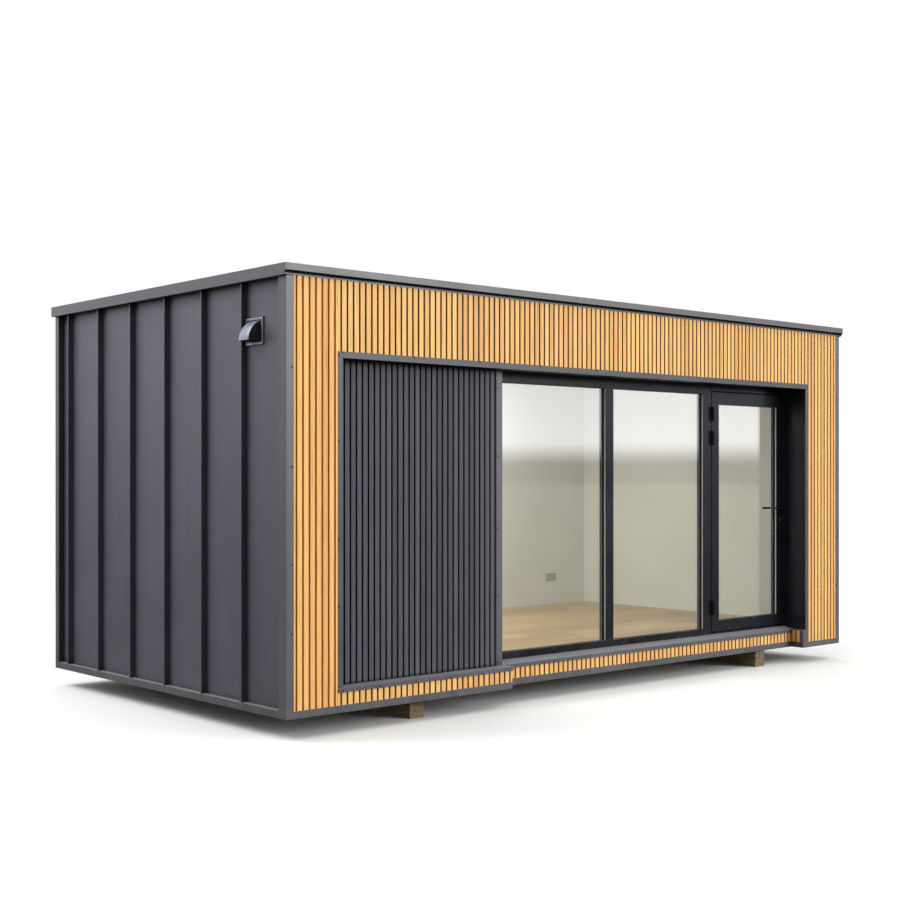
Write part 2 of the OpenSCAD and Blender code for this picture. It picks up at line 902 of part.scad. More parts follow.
module window_panes() {
    color(glass_tint) from_corner() for (light = window_lights)
        light_block(light, glass_bite, pane_y, bead_y);
}

module window_beads() {
    color(frame_grey) from_corner() for (light = window_lights) bead(light, front_in);
}

// Stop behind the leaf, on the inner face of the frame
module door_stop() {
    color(frame_grey) from_corner() difference() {
        block([hinge_post_r - stop_lap, front_in, room_z], [pier_r, front_in + stop_t, frame_top]);
        block([leaf_l + stop_lap, front_in - over, room_z - over],
              [leaf_r - stop_lap, front_in + stop_t + over, leaf_top - stop_lap]);
    }
}

// Knuckle of a hinge between two heights, on the pin's axis
module knuckle(low, high, radius) {
    translate([pin_x, pin_y, low]) cylinder(r = radius, h = high - low);
}

// Hinge half on the frame: plate, two outer knuckles and the pin
module frame_hinge(z) {
    mid_low = z + knuckle_h - run_gap;
    mid_high = z + 2 * knuckle_h + run_gap;
    difference() {
        union() {
            block([pin_x - hinge_plate_w, glazing_depth - hinge_plate_t, z],
                  [hinge_post_r, glazing_depth, z + hinge_h]);
            knuckle(z, mid_low, knuckle_r);
            knuckle(mid_high, z + hinge_h, knuckle_r);
        }
        difference() {
            knuckle(mid_low, mid_high, knuckle_r + run_gap);
            knuckle(mid_low, mid_high, pin_r);
        }
    }
    knuckle(z, z + hinge_h, pin_r);
}

// Hinge half on the leaf: plate and the middle knuckle, bored for the pin
module door_hinge(z) {
    low = z + knuckle_h;
    high = z + 2 * knuckle_h;
    difference() {
        union() {
            block([leaf_l, glazing_depth - hinge_plate_t, z],
                  [pin_x + hinge_plate_w, glazing_depth, z + hinge_h]);
            knuckle(low, high, knuckle_r);
        }
        knuckle(z - over, low, knuckle_r + run_gap);
        knuckle(high, z + hinge_h + over, knuckle_r + run_gap);
        knuckle(low - over, high + over, pin_r + run_gap);
    }
}

module frame_hinges() {
    color(black) from_corner() for (z = hinge_places) frame_hinge(z);
}

module door_hinges() {
    color(black) from_corner() for (z = hinge_places) door_hinge(z);
}

module door_stiles() {
    color(frame_grey) from_corner() difference() {
        union() {
            block([leaf_l, glazing_depth, leaf_z], [leaf_l + stile_w, leaf_back, leaf_top]);
            block([leaf_r - stile_w, glazing_depth, leaf_z], [leaf_r, leaf_back, leaf_top]);
        }
        rebate(door_light, leaf_back);
        translate([lever_x, 0, lever_z])
            y_bar(spindle_r + spindle_gap, glazing_depth - over, leaf_back + over);
        translate([lever_x, 0, lock_z]) lock_bar(run_gap, glazing_depth - over, leaf_back + over);
    }
}

module door_rails() {
    left = leaf_l + stile_w;
    right = leaf_r - stile_w;
    color(frame_grey) from_corner() difference() {
        union() {
            block([left, glazing_depth, leaf_z], [right, leaf_back, leaf_z + bottom_rail_h]);
            block([left, glazing_depth, leaf_top - top_rail_h], [right, leaf_back, leaf_top]);
        }
        rebate(door_light, leaf_back);
    }
}

module door_pane() {
    color(glass_tint) from_corner() light_block(door_light, glass_bite, pane_y, bead_y);
}

module door_beads() {
    color(frame_grey) from_corner() bead(door_light, leaf_back);
}

// Profile cylinder of the lock along y: a round head with a narrower tail below it
module lock_bar(grow, from, to) {
    tail_r = lock_tail_w / 2;
    drop = lock_h - lock_r - tail_r;
    y_bar(lock_r + grow, from, to);
    translate([0, 0, -drop]) y_bar(tail_r + grow, from, to);
    block([-tail_r - grow, from, -drop], [tail_r + grow, to, 0]);
}

// Round plates on both faces of the leaf, round the lever's spindle and the lock cylinder
module door_roses() {
    color(black) from_corner() translate([lever_x, 0, 0])
        for (y = [glazing_depth - rose_t, leaf_back]) {
            translate([0, 0, lever_z]) difference() {
                y_bar(rose_r, y, y + rose_t);
                y_bar(spindle_r + run_gap, y - over, y + rose_t + over);
            }
            translate([0, 0, lock_z]) difference() {
                translate([0, 0, lock_r - lock_h / 2]) y_bar(rose_r, y, y + rose_t);
                lock_bar(run_gap, y - over, y + rose_t + over);
            }
        }
}

module lock_cylinder() {
    stand = rose_t + lock_out;
    color(metal) from_corner() translate([lever_x, 0, lock_z])
        lock_bar(0, glazing_depth - stand, leaf_back + stand);
}

// Lever on each face of the leaf, joined by the spindle through it
module door_lever() {
    front = glazing_depth - lever_out;
    back = leaf_back + lever_out;
    color(black) from_corner() translate([lever_x, 0, lever_z]) {
        y_bar(spindle_r, front, back);
        for (y = [front, back]) translate([0, y, 0]) {
            rotate([0, -90, 0]) cylinder(r = lever_r, h = lever_l);
            sphere(lever_r);
            translate([-lever_l, 0, 0]) sphere(lever_r);
        }
    }
}

// Section of the hood in x and z: a bow from the plate at the top out to its lower edge
module hood_section(inset, sink) {
    chord = norm([hood_out, hood_h]);
    reach = sqrt(hood_r * hood_r - chord * chord / 4);
    intersection() {
        translate([hood_h * reach / chord - hood_out / 2, hood_h / 2 - hood_out * reach / chord])
            circle(hood_r - inset, $fn = bow_facets);
        translate([-hood_out, -inset]) square([hood_out + sink, hood_h + inset]);
    }
}

// A slice of the hood's section between two places along y, let into the plate by a given depth
module hood_slice(inset, from, to, sink = 0) {
    translate([vent_face, vent_y - hood_w / 2 + to, vent_corner[1] + hood_rise])
        rotate([90, 0, 0]) linear_extrude(to - from) hood_section(inset, sink);
}

// Ring of bars on the vent's plate, and the bowed front of the hood
module vent_hood() {
    low = vent_corner + [vent_edge, vent_edge];
    high = vent_corner + [vent_w - vent_edge, vent_h - vent_edge];
    color(metal) from_corner() {
        difference() {
            block([vent_bar_face, low[0], low[1]], [vent_face, high[0], high[1]]);
            block([vent_bar_face - over, low[0] + vent_stile_w, low[1] + vent_rim_w],
                  [vent_face + over, high[0] - vent_stile_w, high[1] - vent_rim_w]);
        }
        difference() {
            hood_slice(0, 0, hood_w);
            hood_slice(hood_t, -over, hood_w + over, over);
        }
    }
}

// The vent's plate, and the two sides of the hood between its bowed front and the plate
module vent_cheeks() {
    color(black) from_corner() {
        block([vent_face, vent_corner[0], vent_corner[1]],
              [pan_setback, vent_corner[0] + vent_w, vent_corner[1] + vent_h]);
        for (from = [0, hood_w - hood_t]) intersection() {
            hood_slice(hood_t, from, from + hood_t, over);
            hood_slice(0, from, from + hood_t, over);
        }
    }
}

module wall_socket() {
    x = body_l - socket_x;
    y = back_in - lining_t - socket_t;
    z = room_z + socket_z;
    well = socket_w * well_share;
    depth = socket_t * well_depth_share;
    color(panel_white) from_corner() difference() {
        block([x - socket_w / 2, y, z - socket_h / 2],
              [x + socket_w / 2, y + socket_t, z + socket_h / 2]);
        for (side = [-1, 1]) translate([x + side * socket_w * well_place_share, 0, z])
            y_bar(well / 2, y - over, y + depth);
    }
}

bearers();
floor_panel();
floor_deck();
floor_boards();
left_wall();
right_wall();
back_wall();
left_pier();
right_pier();
front_wall();
front_beam();
wall_linings();
ceiling();
roof_panel();
roof_deck();
roof_membrane();
side_roof_trims();
front_roof_trim();
back_roof_trim();
left_cladding();
right_cladding();
back_cladding();
corner_trims();
side_base_trims();
front_base_trims();
left_slat_column();
right_slat_column();
top_slat_band();
panel_plinth_slats();
glazing_plinth_slats();
left_opening_trim();
top_opening_trim();
right_opening_trim();
plinth_corner_trim();
dark_slat_panel();
panel_corner_trim();
panel_sill();
glazing_sill();
frame_posts();
frame_heads();
frame_bottom_rails();
frame_packer();
window_panes();
window_beads();
door_stop();
frame_hinges();
door_hinges();
door_stiles();
door_rails();
door_pane();
door_beads();
door_roses();
lock_cylinder();
door_lever();
vent_hood();
vent_cheeks();
wall_socket();
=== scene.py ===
"""Looks of a garden office pod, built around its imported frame.

The pod's solids come from the frame and keep their shapes. Each class below is one sub-assembly, which adds the fine
pieces that the solids leave out and dresses the solids, or one finish, which builds the material for a slot.
"""
import json
import logging
import math
import random
from dataclasses import dataclass, field, replace
from enum import Enum

import bmesh
import bpy
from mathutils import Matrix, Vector

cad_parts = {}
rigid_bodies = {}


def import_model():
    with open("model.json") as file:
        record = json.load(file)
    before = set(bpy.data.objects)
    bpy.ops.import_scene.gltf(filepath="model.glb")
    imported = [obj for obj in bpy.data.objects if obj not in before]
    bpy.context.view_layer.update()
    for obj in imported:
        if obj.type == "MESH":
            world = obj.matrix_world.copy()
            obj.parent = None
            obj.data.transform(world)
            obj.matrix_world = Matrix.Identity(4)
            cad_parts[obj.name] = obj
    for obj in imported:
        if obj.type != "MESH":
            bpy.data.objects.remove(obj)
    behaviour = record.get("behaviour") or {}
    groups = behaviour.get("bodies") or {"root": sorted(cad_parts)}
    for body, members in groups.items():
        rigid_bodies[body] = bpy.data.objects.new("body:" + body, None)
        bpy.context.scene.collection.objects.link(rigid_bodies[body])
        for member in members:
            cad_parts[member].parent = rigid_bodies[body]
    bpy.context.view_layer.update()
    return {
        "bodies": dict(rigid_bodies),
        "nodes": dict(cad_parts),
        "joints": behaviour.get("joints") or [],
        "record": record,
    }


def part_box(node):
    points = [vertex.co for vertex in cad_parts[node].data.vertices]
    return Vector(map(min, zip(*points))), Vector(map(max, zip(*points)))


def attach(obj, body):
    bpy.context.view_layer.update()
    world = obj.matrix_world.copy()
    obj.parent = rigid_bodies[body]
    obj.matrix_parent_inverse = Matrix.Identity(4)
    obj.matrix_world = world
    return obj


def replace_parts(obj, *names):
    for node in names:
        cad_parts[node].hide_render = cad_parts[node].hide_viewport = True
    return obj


LOG = logging.getLogger("pod")
BOARD_TONE = "board_tone"
Colour = tuple[float, float, float]
Point = tuple[float, float, float]
Pair = tuple[float, float]
Tints = tuple[tuple[float, Colour], ...]
Socket = bpy.types.NodeSocket
Tree = bpy.types.NodeTree
Value = Socket | float | tuple


class Body(Enum):
    """The bodies that the added pieces ride on."""

    POD = "pod"
    DOOR = "door_leaf"


class Slot(Enum):
    """The material slots of the record."""

    BEARER = "bearer_timber"
    BOARD = "structural_board"
    LAMINATE = "floor_laminate"
    PANEL = "white_panel"
    MEMBRANE = "roof_membrane"
    SHEET = "graphite_sheet"
    TRIM = "graphite_trim"
    GOLDEN = "golden_slats"
    DARK = "dark_slats"
    FRAME = "frame_paint"
    GLASS = "clear_glass"
    HARDWARE = "black_hardware"
    STEEL = "lock_steel"
    VENT = "vent_metal"
    CHEEK = "black_plastic"
    SOCKET = "white_plastic"


class Wiring:
    """Adds and joins shader nodes in one node tree with short calls."""

    def __init__(self, tree: Tree) -> None:
        """Keeps the tree that the nodes go into."""
        self.tree = tree

    def add(self, kind: str, *values: Value, **settings: object) -> bpy.types.Node:
        """Adds a node.

        Args:
            kind: Type of the node, without its ShaderNode prefix.
            *values: Its first inputs, in order.
            **settings: Properties of the node.

        Returns:
            The new node.
        """
        node = self.tree.nodes.new("ShaderNode" + kind)
        for name, value in settings.items():
            setattr(node, name, value)
        for socket, value in zip(node.inputs, values):
            self.feed(socket, value)
        return node

    def feed(self, socket: Socket, value: Value) -> None:
        """Joins an input to another socket, or sets it to a plain value.

        Args:
            socket: The input.
            value: A socket, a number, or a tuple for a colour or a vector.
        """
        if isinstance(value, Socket):
            self.tree.links.new(value, socket)
        elif socket.type == "RGBA" and len(value) == 3:
            socket.default_value = (*value, 1.0)
        else:
            socket.default_value = value

    def math(self, operation: str, *values: Value, clamp: bool = False) -> Socket:
        """Adds a Math node.

        Args:
            operation: Name of the operation.
            *values: Its inputs, in order.
            clamp: Whether the result is kept between 0 and 1.

        Returns:
            The result's socket.
        """
        return self.add("Math", *values, operation=operation, use_clamp=clamp).outputs[0]

    def times(self, *values: Value) -> Socket:
        """Multiplies two values."""
        return self.math("MULTIPLY", *values)

    def vector(self, operation: str, *values: Value) -> Socket:
        """Adds a Vector Math node.

        Args:
            operation: Name of the operation.
            *values: Its inputs, in order.

        Returns:
            The result's socket, a number for a dot product and a vector otherwise.
        """
        node = self.add("VectorMath", *values, operation=operation)
        return node.outputs["Value" if operation == "DOT_PRODUCT" else "Vector"]

    def mix(self, factor: Value, low: Value, high: Value, blend: str = "MIX") -> Socket:
        """Mixes two colours.

        Args:
            factor: Share of the second colour.
            low: First colour.
            high: Second colour.
            blend: Blend type.

        Returns:
            The mixed colour's socket.
        """
        node = self.add("Mix", data_type="RGBA", blend_type=blend)
        for index, value in ((0, factor), (6, low), (7, high)):
            self.feed(node.inputs[index], value)
        return node.outputs[2]

    def split(self, vector: Value) -> bpy.types.NodeOutputs:
        """Splits a vector into its three parts."""
        return self.add("SeparateXYZ", vector).outputs

    def remap(self, value: Value, low: Value, high: Value, to_low: float = 0.0, to_high: float = 1.0) -> Socket:
        """Maps a span of a value smoothly onto another span and stops at its ends.

        Args:
            value: The value.
            low: Start of the span.
            high: End of the span.
            to_low: Result at the start.
            to_high: Result at the end.

        Returns:
            The result's socket.
        """
        return self.add("MapRange", value, low, high, to_low, to_high, interpolation_type="SMOOTHSTEP").outputs[0]

    def ramp(self, value: Value, stops: Tints) -> Socket:
        """Turns a value into a colour.

        Args:
            value: The value, from 0 to 1.
            stops: Places and colours of the ramp.

        Returns:
            The colour's socket.
        """
        node = self.add("ValToRGB", value)
        elements = node.color_ramp.elements
        for _ in stops[2:]:
            elements.new(0.5)
        for element, (place, colour) in zip(elements, stops):
            element.position = place
            element.color = (*colour, 1.0)
        return node.outputs[0]

    def noise(self, position: Value, scale: Value, detail: float, rough: float) -> Socket:
        """Adds a noise texture.

        Args:
            position: Where it is read.
            scale: Its scale per metre.
            detail: Number of octaves.
            rough: How strong the fine octaves are.

        Returns:
            The noise value's socket.
        """
        node = self.add("TexNoise")
        for name, value in (("Vector", position), ("Scale", scale), ("Detail", detail), ("Roughness", rough)):
            self.feed(node.inputs[name], value)
        return node.outputs[0]

    def place(self, group: Tree, **values: Value) -> bpy.types.NodeOutputs:
        """Places a node group.

        Args:
            group: The group.
            **values: Its inputs by name.

        Returns:
            The group's outputs.
        """
        node = self.add("Group", node_tree=group)
        for name, value in values.items():
            self.feed(node.inputs[name], value)
        return node.outputs


class Effects:
    """The surface effects that several finishes share, each a node group that is built once."""

    def __init__(self) -> None:
        """Builds every group."""
        self.slat_tone = self._slat_tone()
        self.grain = self._grain()
        self.dust = self._dust()
        self.coating = self._coating()
        self.edges = self._edges()
        self.painted_shade = self._painted_shade()

    @staticmethod
    def _start(name: str, inputs: dict[str, str], outputs: dict[str, str]) -> tuple[Wiring, dict, dict]:
        """Starts a node group.

        Args:
            name: Name of the group.
            inputs: Names and socket types of its inputs.
            outputs: Names and socket types of its outputs.

        Returns:
            The wiring of the group, its input sockets and its output sockets by name.
        """
        tree = bpy.data.node_groups.new(name, "ShaderNodeTree")
        for way, sockets in (("INPUT", inputs), ("OUTPUT", outputs)):
            for label, kind in sockets.items():
                tree.interface.new_socket(label, in_out=way, socket_type="NodeSocket" + kind)
        given = tree.nodes.new("NodeGroupInput").outputs
        wanted = tree.nodes.new("NodeGroupOutput").inputs
        return Wiring(tree), {n: given[n] for n in inputs}, {n: wanted[n] for n in outputs}

    def _slat_tone(self) -> Tree:
        """Builds the group that gives each slat of a grid its own tone.

        Returns:
            The group.
        """
        w, given, wanted = self._start("slat_tone", {"Position": "Vector", "Start": "Vector", "Pitch": "Float"},
                                       {"Tone": "Float", "Offset": "Vector"})
        parts = w.split(w.vector("SUBTRACT", given["Position"], given["Start"]))
        cell = w.add("CombineXYZ", *(w.math("FLOOR", w.math("DIVIDE", part, given["Pitch"])) for part in parts[:2]))
        white = w.add("TexWhiteNoise", cell.outputs[0], noise_dimensions="3D")
        w.feed(wanted["Tone"], white.outputs["Value"])
        w.feed(wanted["Offset"], white.outputs["Color"])
        return w.tree

    def _grain(self) -> Tree:
        """Builds the group for wood: broad figure, fine fibre and dark streaks along the grain.

        Returns:
            The group.
        """
        w, given, wanted = self._start("wood_grain", {"Position": "Vector", "Offset": "Vector", "Stretch": "Vector"},
                                       {"Figure": "Float", "Fibre": "Float", "Streak": "Float"})
        shift = w.vector("MULTIPLY", given["Offset"], (9.0, 9.0, 9.0))
        placed = w.vector("MULTIPLY", w.vector("ADD", given["Position"], shift), given["Stretch"])
        w.feed(wanted["Figure"], w.noise(placed, 42.0, 3.0, 0.55))
        w.feed(wanted["Fibre"], w.noise(placed, 420.0, 2.0, 0.6))
        w.feed(wanted["Streak"], w.remap(w.noise(placed, 130.0, 2.0, 0.5), 0.58, 0.74))
        return w.tree

    def _dust(self) -> Tree:
        """Builds the group for the dust that splashes up on the lowest part of the pod.

        Returns:
            The group.
        """
        w, given, wanted = self._start("splash_dust", {"Position": "Vector", "Low": "Float", "Reach": "Float"},
                                       {"Mask": "Float"})
        height = w.split(given["Position"])[2]
        share = w.math("DIVIDE", w.math("SUBTRACT", height, given["Low"]), given["Reach"])
        fall = w.math("POWER", w.math("SUBTRACT", 1.0, share, clamp=True), 2.0)
        patches = w.remap(w.noise(given["Position"], 14.0, 4.0, 0.65), 0.35, 0.7)
        w.feed(wanted["Mask"], w.times(fall, patches))
        return w.tree

    def _coating(self) -> Tree:
        """Builds the group for coated metal: fine orange peel, broad mottling and upright runs.

        Returns:
            The group.
        """
        w, given, wanted = self._start("coating", {"Position": "Vector", "Scale": "Float"},
                                       {"Peel": "Float", "Mottle": "Float", "Run": "Float"})
        w.feed(wanted["Peel"], w.noise(given["Position"], given["Scale"], 2.0, 0.5))
        w.feed(wanted["Mottle"], w.noise(given["Position"], 2.3, 3.0, 0.55))
        runs = w.vector("MULTIPLY", given["Position"], (1.0, 1.0, 0.03))
        w.feed(wanted["Run"], w.noise(runs, 34.0, 3.0, 0.6))
        return w.tree

    def _edges(self) -> Tree:
        """Builds the group that finds the sharp edges where a coating wears.

        Returns:
            The group.
        """
        w, given, wanted = self._start("edge_wear", {"Position": "Vector", "Radius": "Float"}, {"Wear": "Float"})
        rounded = w.add("Bevel", given["Radius"], samples=4)
        plain = w.add("NewGeometry").outputs["Normal"]
        turned = w.math("SUBTRACT", 1.0, w.vector("DOT_PRODUCT", rounded.outputs[0], plain))
        broken = w.remap(w.noise(given["Position"], 55.0, 4.0, 0.7), 0.3, 0.62)
        w.feed(wanted["Wear"], w.times(w.remap(turned, 0.02, 0.16), broken))
        return w.tree

    def _painted_shade(self) -> Tree:
        """Builds the group for painted shade, which darkens the corners, recesses and gaps that ambient occlusion
        finds.

        Returns:
            The group.
        """
        w, given, wanted = self._start("painted_shade", {"Distance": "Float", "Low": "Float", "High": "Float"},
                                       {"Shade": "Float"})
        open_share = w.add("AmbientOcclusion", samples=6)
        w.feed(open_share.inputs["Distance"], given["Distance"])
        # Painted shade: 1 where the surface is occluded, 0 where it is open.
        w.feed(wanted["Shade"], w.remap(open_share.outputs["AO"], given["Low"], given["High"], 1.0, 0.0))
        return w.tree


class Surface:
    """One material on its way: its wiring, its Principled shader and its place on the object."""

    def __init__(self, name: str, effects: Effects | None = None) -> None:
        """Starts an empty material.

        Args:
            name: Name of the material.
            effects: The shared effects, where it uses them.
        """
        self.effects = effects
        self.material = bpy.data.materials.new(name)
        self.material.use_nodes = True
        self.material.node_tree.nodes.clear()
        self.wiring = Wiring(self.material.node_tree)
        self.shader = self.wiring.add("BsdfPrincipled")
        self.output = self.wiring.add("OutputMaterial", self.shader.outputs[0])
        self.position = self.wiring.add("TexCoord").outputs["Object"]

    def effect(self, group: Tree, **values: Value) -> bpy.types.NodeOutputs:
        """Places a shared effect at the object's own position."""
        return self.wiring.place(group, Position=self.position, **values)

    def set(self, **values: Value) -> None:
        """Feeds inputs of the shader.

        Args:
            **values: Inputs by name, with underscores for spaces.
        """
        for name, value in values.items():
            self.wiring.feed(self.shader.inputs[name.replace("_", " ")], value)

    def bump(self, height: Value, depth: float, strength: float) -> None:
        """Raises the surface by a height from 0 to 1.

        Args:
            height: The height.
            depth: Its full depth in metres.
            strength: How strongly it shows.
        """
        node = self.wiring.add("Bump")
        for name, value in (("Height", height), ("Distance", depth), ("Strength", strength)):
            self.wiring.feed(node.inputs[name], value)
        self.wiring.feed(self.shader.inputs["Normal"], node.outputs[0])

    def blend(self, factor: Value, other: Socket) -> None:
        """Mixes another shader into the surface.

        Args:
            factor: Share of the other shader.
            other: Its socket.
        """
        both = self.wiring.add("MixShader", factor, self.shader.outputs[0], other)
        self.wiring.feed(self.output.inputs["Surface"], both.outputs[0])


@dataclass(frozen=True)
class Finish:
    """A finish, which builds a material from its colours and measures."""

    def material(self, name: str, effects: Effects) -> bpy.types.Material:
        """Builds the material.

        Args:
            name: Name of the material.
            effects: The shared effects.

        Returns:
            The material.
        """
        surface = Surface(name, effects)
        self.paint(surface)
        return surface.material

    def paint(self, s: Surface) -> None:
        """Wires the surface in the finish's own way.

        Args:
            s: The surface.
        """
        raise NotImplementedError


@dataclass(frozen=True)
class CoatedMetal(Finish):
    """Coated metal of the trims, the window frames, the vent hood and the black hardware."""

    colour: Colour
    wear_and_top_light: Colour = (0.30, 0.30, 0.32)
    dust: Colour = (0.24, 0.21, 0.17)
    painted_shadow: Colour = (0.010, 0.008, 0.007)
    shade: Colour = (0.0035, 0.0038, 0.005)
    reveal_shade: Colour = (0.0036, 0.0040, 0.0080)
    rough: float = 0.40
    lying_rough: float = 0.75
    peel_scale: float = 520.0
    edge_radius: float = 0.0025
    dust_share: float = 0.16
    wear_share: float = 0.3
    low: float = 0.14
    reach: float = 0.35
    painted_shade_share: float = 0.0
    painted_shade_reach: float = 0.30
    lying_share: float = 0.0
    reveal_shade_share: float = 0.0
    painted_shadow_below: float = 0.0
    shine: float = 0.5
    shine_tint: Colour = (1.0, 1.0, 1.0)

    def paint(self, s: Surface) -> None:
        """Wires the surface.

        Args:
            s: The surface.
        """
        w, effects = s.wiring, s.effects
        coat = s.effect(effects.coating, Scale=self.peel_scale)
        wear = s.effect(effects.edges, Radius=self.edge_radius)["Wear"]
        dust = s.effect(effects.dust, Low=self.low, Reach=self.reach)["Mask"]
        tone = w.remap(coat["Mottle"], 0.25, 0.75, 0.86, 1.14)
        run = w.remap(coat["Run"], 0.3, 0.7, 0.94, 1.06)
        grey = w.mix(1.0, self.colour, w.times(tone, run), "MULTIPLY")
        facing = w.split(w.add("NewGeometry").outputs["Normal"])
        # Painted shade: occluded faces that don't look up are darkened towards the shade colour, for the shadow in
        # recesses and under overhangs.
        if self.painted_shade_share:
            shade = w.place(effects.painted_shade, Distance=self.painted_shade_reach, Low=0.42, High=0.80)["Shade"]
            shade = w.times(shade, w.remap(facing[2], 0.2, 0.8, self.painted_shade_share, 0.0))
            grey = w.mix(shade, grey, self.shade)
        # Painted shade: faces that turn away from the front, such as the reveals and soffit of the opening, are
        # darkened towards the reveal shade colour.
        grey = w.mix(w.remap(facing[1], -0.9, -0.5, 0.0, self.reveal_shade_share), grey, self.reveal_shade)
        # Painted shadow: everything below the given height is darkened, for the shadow of the roof edge on the strip
        # beneath it.
        height = w.split(s.position)[2]
        grey = w.mix(w.remap(height, self.painted_shadow_below - 0.002, self.painted_shadow_below, 0.9, 0.0), grey, self.painted_shadow)
        # Painted top light: faces that look up are lightened towards the pale wear and top light colour; they are also
        # made rougher, as dust on them.
        lying = w.remap(facing[2], 0.5, 0.95, 0.0, self.lying_share)
        grey = w.mix(lying, grey, self.wear_and_top_light)
        dusty = w.mix(w.times(dust, self.dust_share), grey, self.dust)
        s.set(Base_Color=w.mix(w.times(wear, self.wear_share), dusty, self.wear_and_top_light),
              Roughness=w.math("ADD", w.remap(coat["Mottle"], 0.2, 0.8, self.rough - 0.06, self.rough + 0.06),
                               w.math("MULTIPLY_ADD", dust, self.dust_share, w.times(lying, self.lying_rough))),
              Specular_IOR_Level=self.shine, Specular_Tint=self.shine_tint)
        s.bump(coat["Peel"], 0.0002, 0.35)


@dataclass(frozen=True)
class SeamedSheet(Finish):
    """Coated sheet of the standing-seam cladding, with fine rolled lines, a tone for each pan and painted shade by the
    seams.
    """

    colour: Colour
    dust: Colour = (0.22, 0.20, 0.17)
    shade: Colour = (0.004, 0.0045, 0.006)
    shade_reach: float = 0.07
    rough: float = 0.40
    peel_scale: float = 480.0
    line_pitch: float = 0.0245
    pan_pitch: float = 0.491
    pan_start: Point = (-2.491, -1.063, 0.0)

    def paint(self, s: Surface) -> None:
        """Wires the surface.

        Args:
            s: The surface.
        """
        w, effects = s.wiring, s.effects
        coat = s.effect(effects.coating, Scale=self.peel_scale)
        pan = s.effect(effects.slat_tone, Start=self.pan_start, Pitch=self.pan_pitch)["Tone"]
        dust = s.effect(effects.dust, Low=0.18, Reach=0.5)["Mask"]
        # Painted shade: occluded faces by the seams are darkened towards the shade colour, for the shadow along each
        # seam.
        shade = w.place(effects.painted_shade, Distance=self.shade_reach, Low=0.45, High=0.86)["Shade"]
        across = w.vector("DOT_PRODUCT", s.position, (1.0, 1.0, 0.0))
        wave = w.math("FRACT", w.math("DIVIDE", across, self.line_pitch))
        line = w.remap(w.math("ABSOLUTE", w.math("SUBTRACT", wave, 0.5)), 0.0, 0.16, 1.0, 0.0)
        tone = w.times(w.remap(pan, 0.0, 1.0, 0.93, 1.07), w.remap(coat["Run"], 0.3, 0.7, 0.92, 1.08))
        tone = w.times(tone, w.remap(coat["Mottle"], 0.2, 0.8, 0.9, 1.1))
        tone = w.times(tone, w.math("SUBTRACT", 1.0, w.times(line, 0.1)))
        grey = w.mix(1.0, self.colour, tone, "MULTIPLY")
        shaded = w.mix(w.times(shade, 0.8), grey, self.shade)
        s.set(Base_Color=w.mix(w.times(dust, 0.1), shaded, self.dust),
              Roughness=w.remap(coat["Mottle"], 0.2, 0.8, self.rough - 0.05, self.rough + 0.08))
        s.bump(w.math("ADD", w.times(coat["Peel"], 0.15), line), 0.0006, 0.5)


@dataclass(frozen=True)
class SlatTimber(Finish):
    """Vertical timber slats on a dark backing, each slat with its own tint and grain, with painted shade in the gaps,
    on the slat sides and under the eaves.
    """

    tints: Tints
    streak: Colour
    backing_and_gap_shade: Colour
    rough: float
    streak_share: float
    fibre_depth: float
    hidden_from: float
    hidden_to: float = 0.18
    side: Colour = (1.0, 1.0, 1.0)
    dust: Colour = (0.30, 0.24, 0.17)
    shine: float = 0.4
    eaves_shade_share: float = 0.0
    eaves_shade_reach: float = 0.12
    gap_reach: float = 0.030
    stretch: Point = (1.0, 1.0, 0.022)
    start: Point = (-2.940, -1.601, 0.0)
    pitch: float = 0.050

    def paint(self, s: Surface) -> None:
        """Wires the surface.

        Args:
            s: The surface.
        """
        w, effects = s.wiring, s.effects
        slat = s.effect(effects.slat_tone, Start=self.start, Pitch=self.pitch)
        grain = s.effect(effects.grain, Offset=slat["Offset"], Stretch=self.stretch)
        dust = s.effect(effects.dust, Low=0.18, Reach=0.4)["Mask"]
        # Painted shade: faces deep in the gaps are mixed towards the backing and gap shade colour.
        hidden = w.place(effects.painted_shade, Distance=self.gap_reach, Low=self.hidden_to, High=self.hidden_from)["Shade"]
        place = w.math("ADD", w.times(slat["Tone"], 0.62), w.times(w.remap(grain["Figure"], 0.25, 0.75), 0.38))
        wood = w.ramp(place, self.tints)
        fibre = w.remap(grain["Fibre"], 0.3, 0.7, 0.88, 1.08)
        wood = w.mix(1.0, wood, fibre, "MULTIPLY")
        wood = w.mix(w.times(grain["Streak"], self.streak_share), wood, self.streak)
        wood = w.mix(w.times(dust, 0.1), wood, self.dust)
        # Painted shadow: slat tops under the roof edge are darkened towards the streak colour.
        eaves_shade = w.place(effects.painted_shade, Distance=self.eaves_shade_reach, Low=0.70, High=0.97)["Shade"]
        wood = w.mix(w.times(eaves_shade, self.eaves_shade_share), wood, self.streak)
        # Painted shade and bounce light: the slat sides beside the gaps are multiplied by the side colour, for their
        # shade and the warm light bounced between slats.
        side_shade_mask = w.place(effects.painted_shade, Distance=self.gap_reach, Low=0.40, High=0.90)["Shade"]
        wood = w.mix(side_shade_mask, wood, self.side, "MULTIPLY")
        s.set(Base_Color=w.mix(hidden, wood, self.backing_and_gap_shade),
              Roughness=w.remap(grain["Figure"], 0.2, 0.8, self.rough - 0.08, self.rough + 0.08),
              Specular_IOR_Level=self.shine)
        s.bump(w.math("ADD", w.times(grain["Fibre"], 0.5), grain["Streak"]), self.fibre_depth, 0.6)


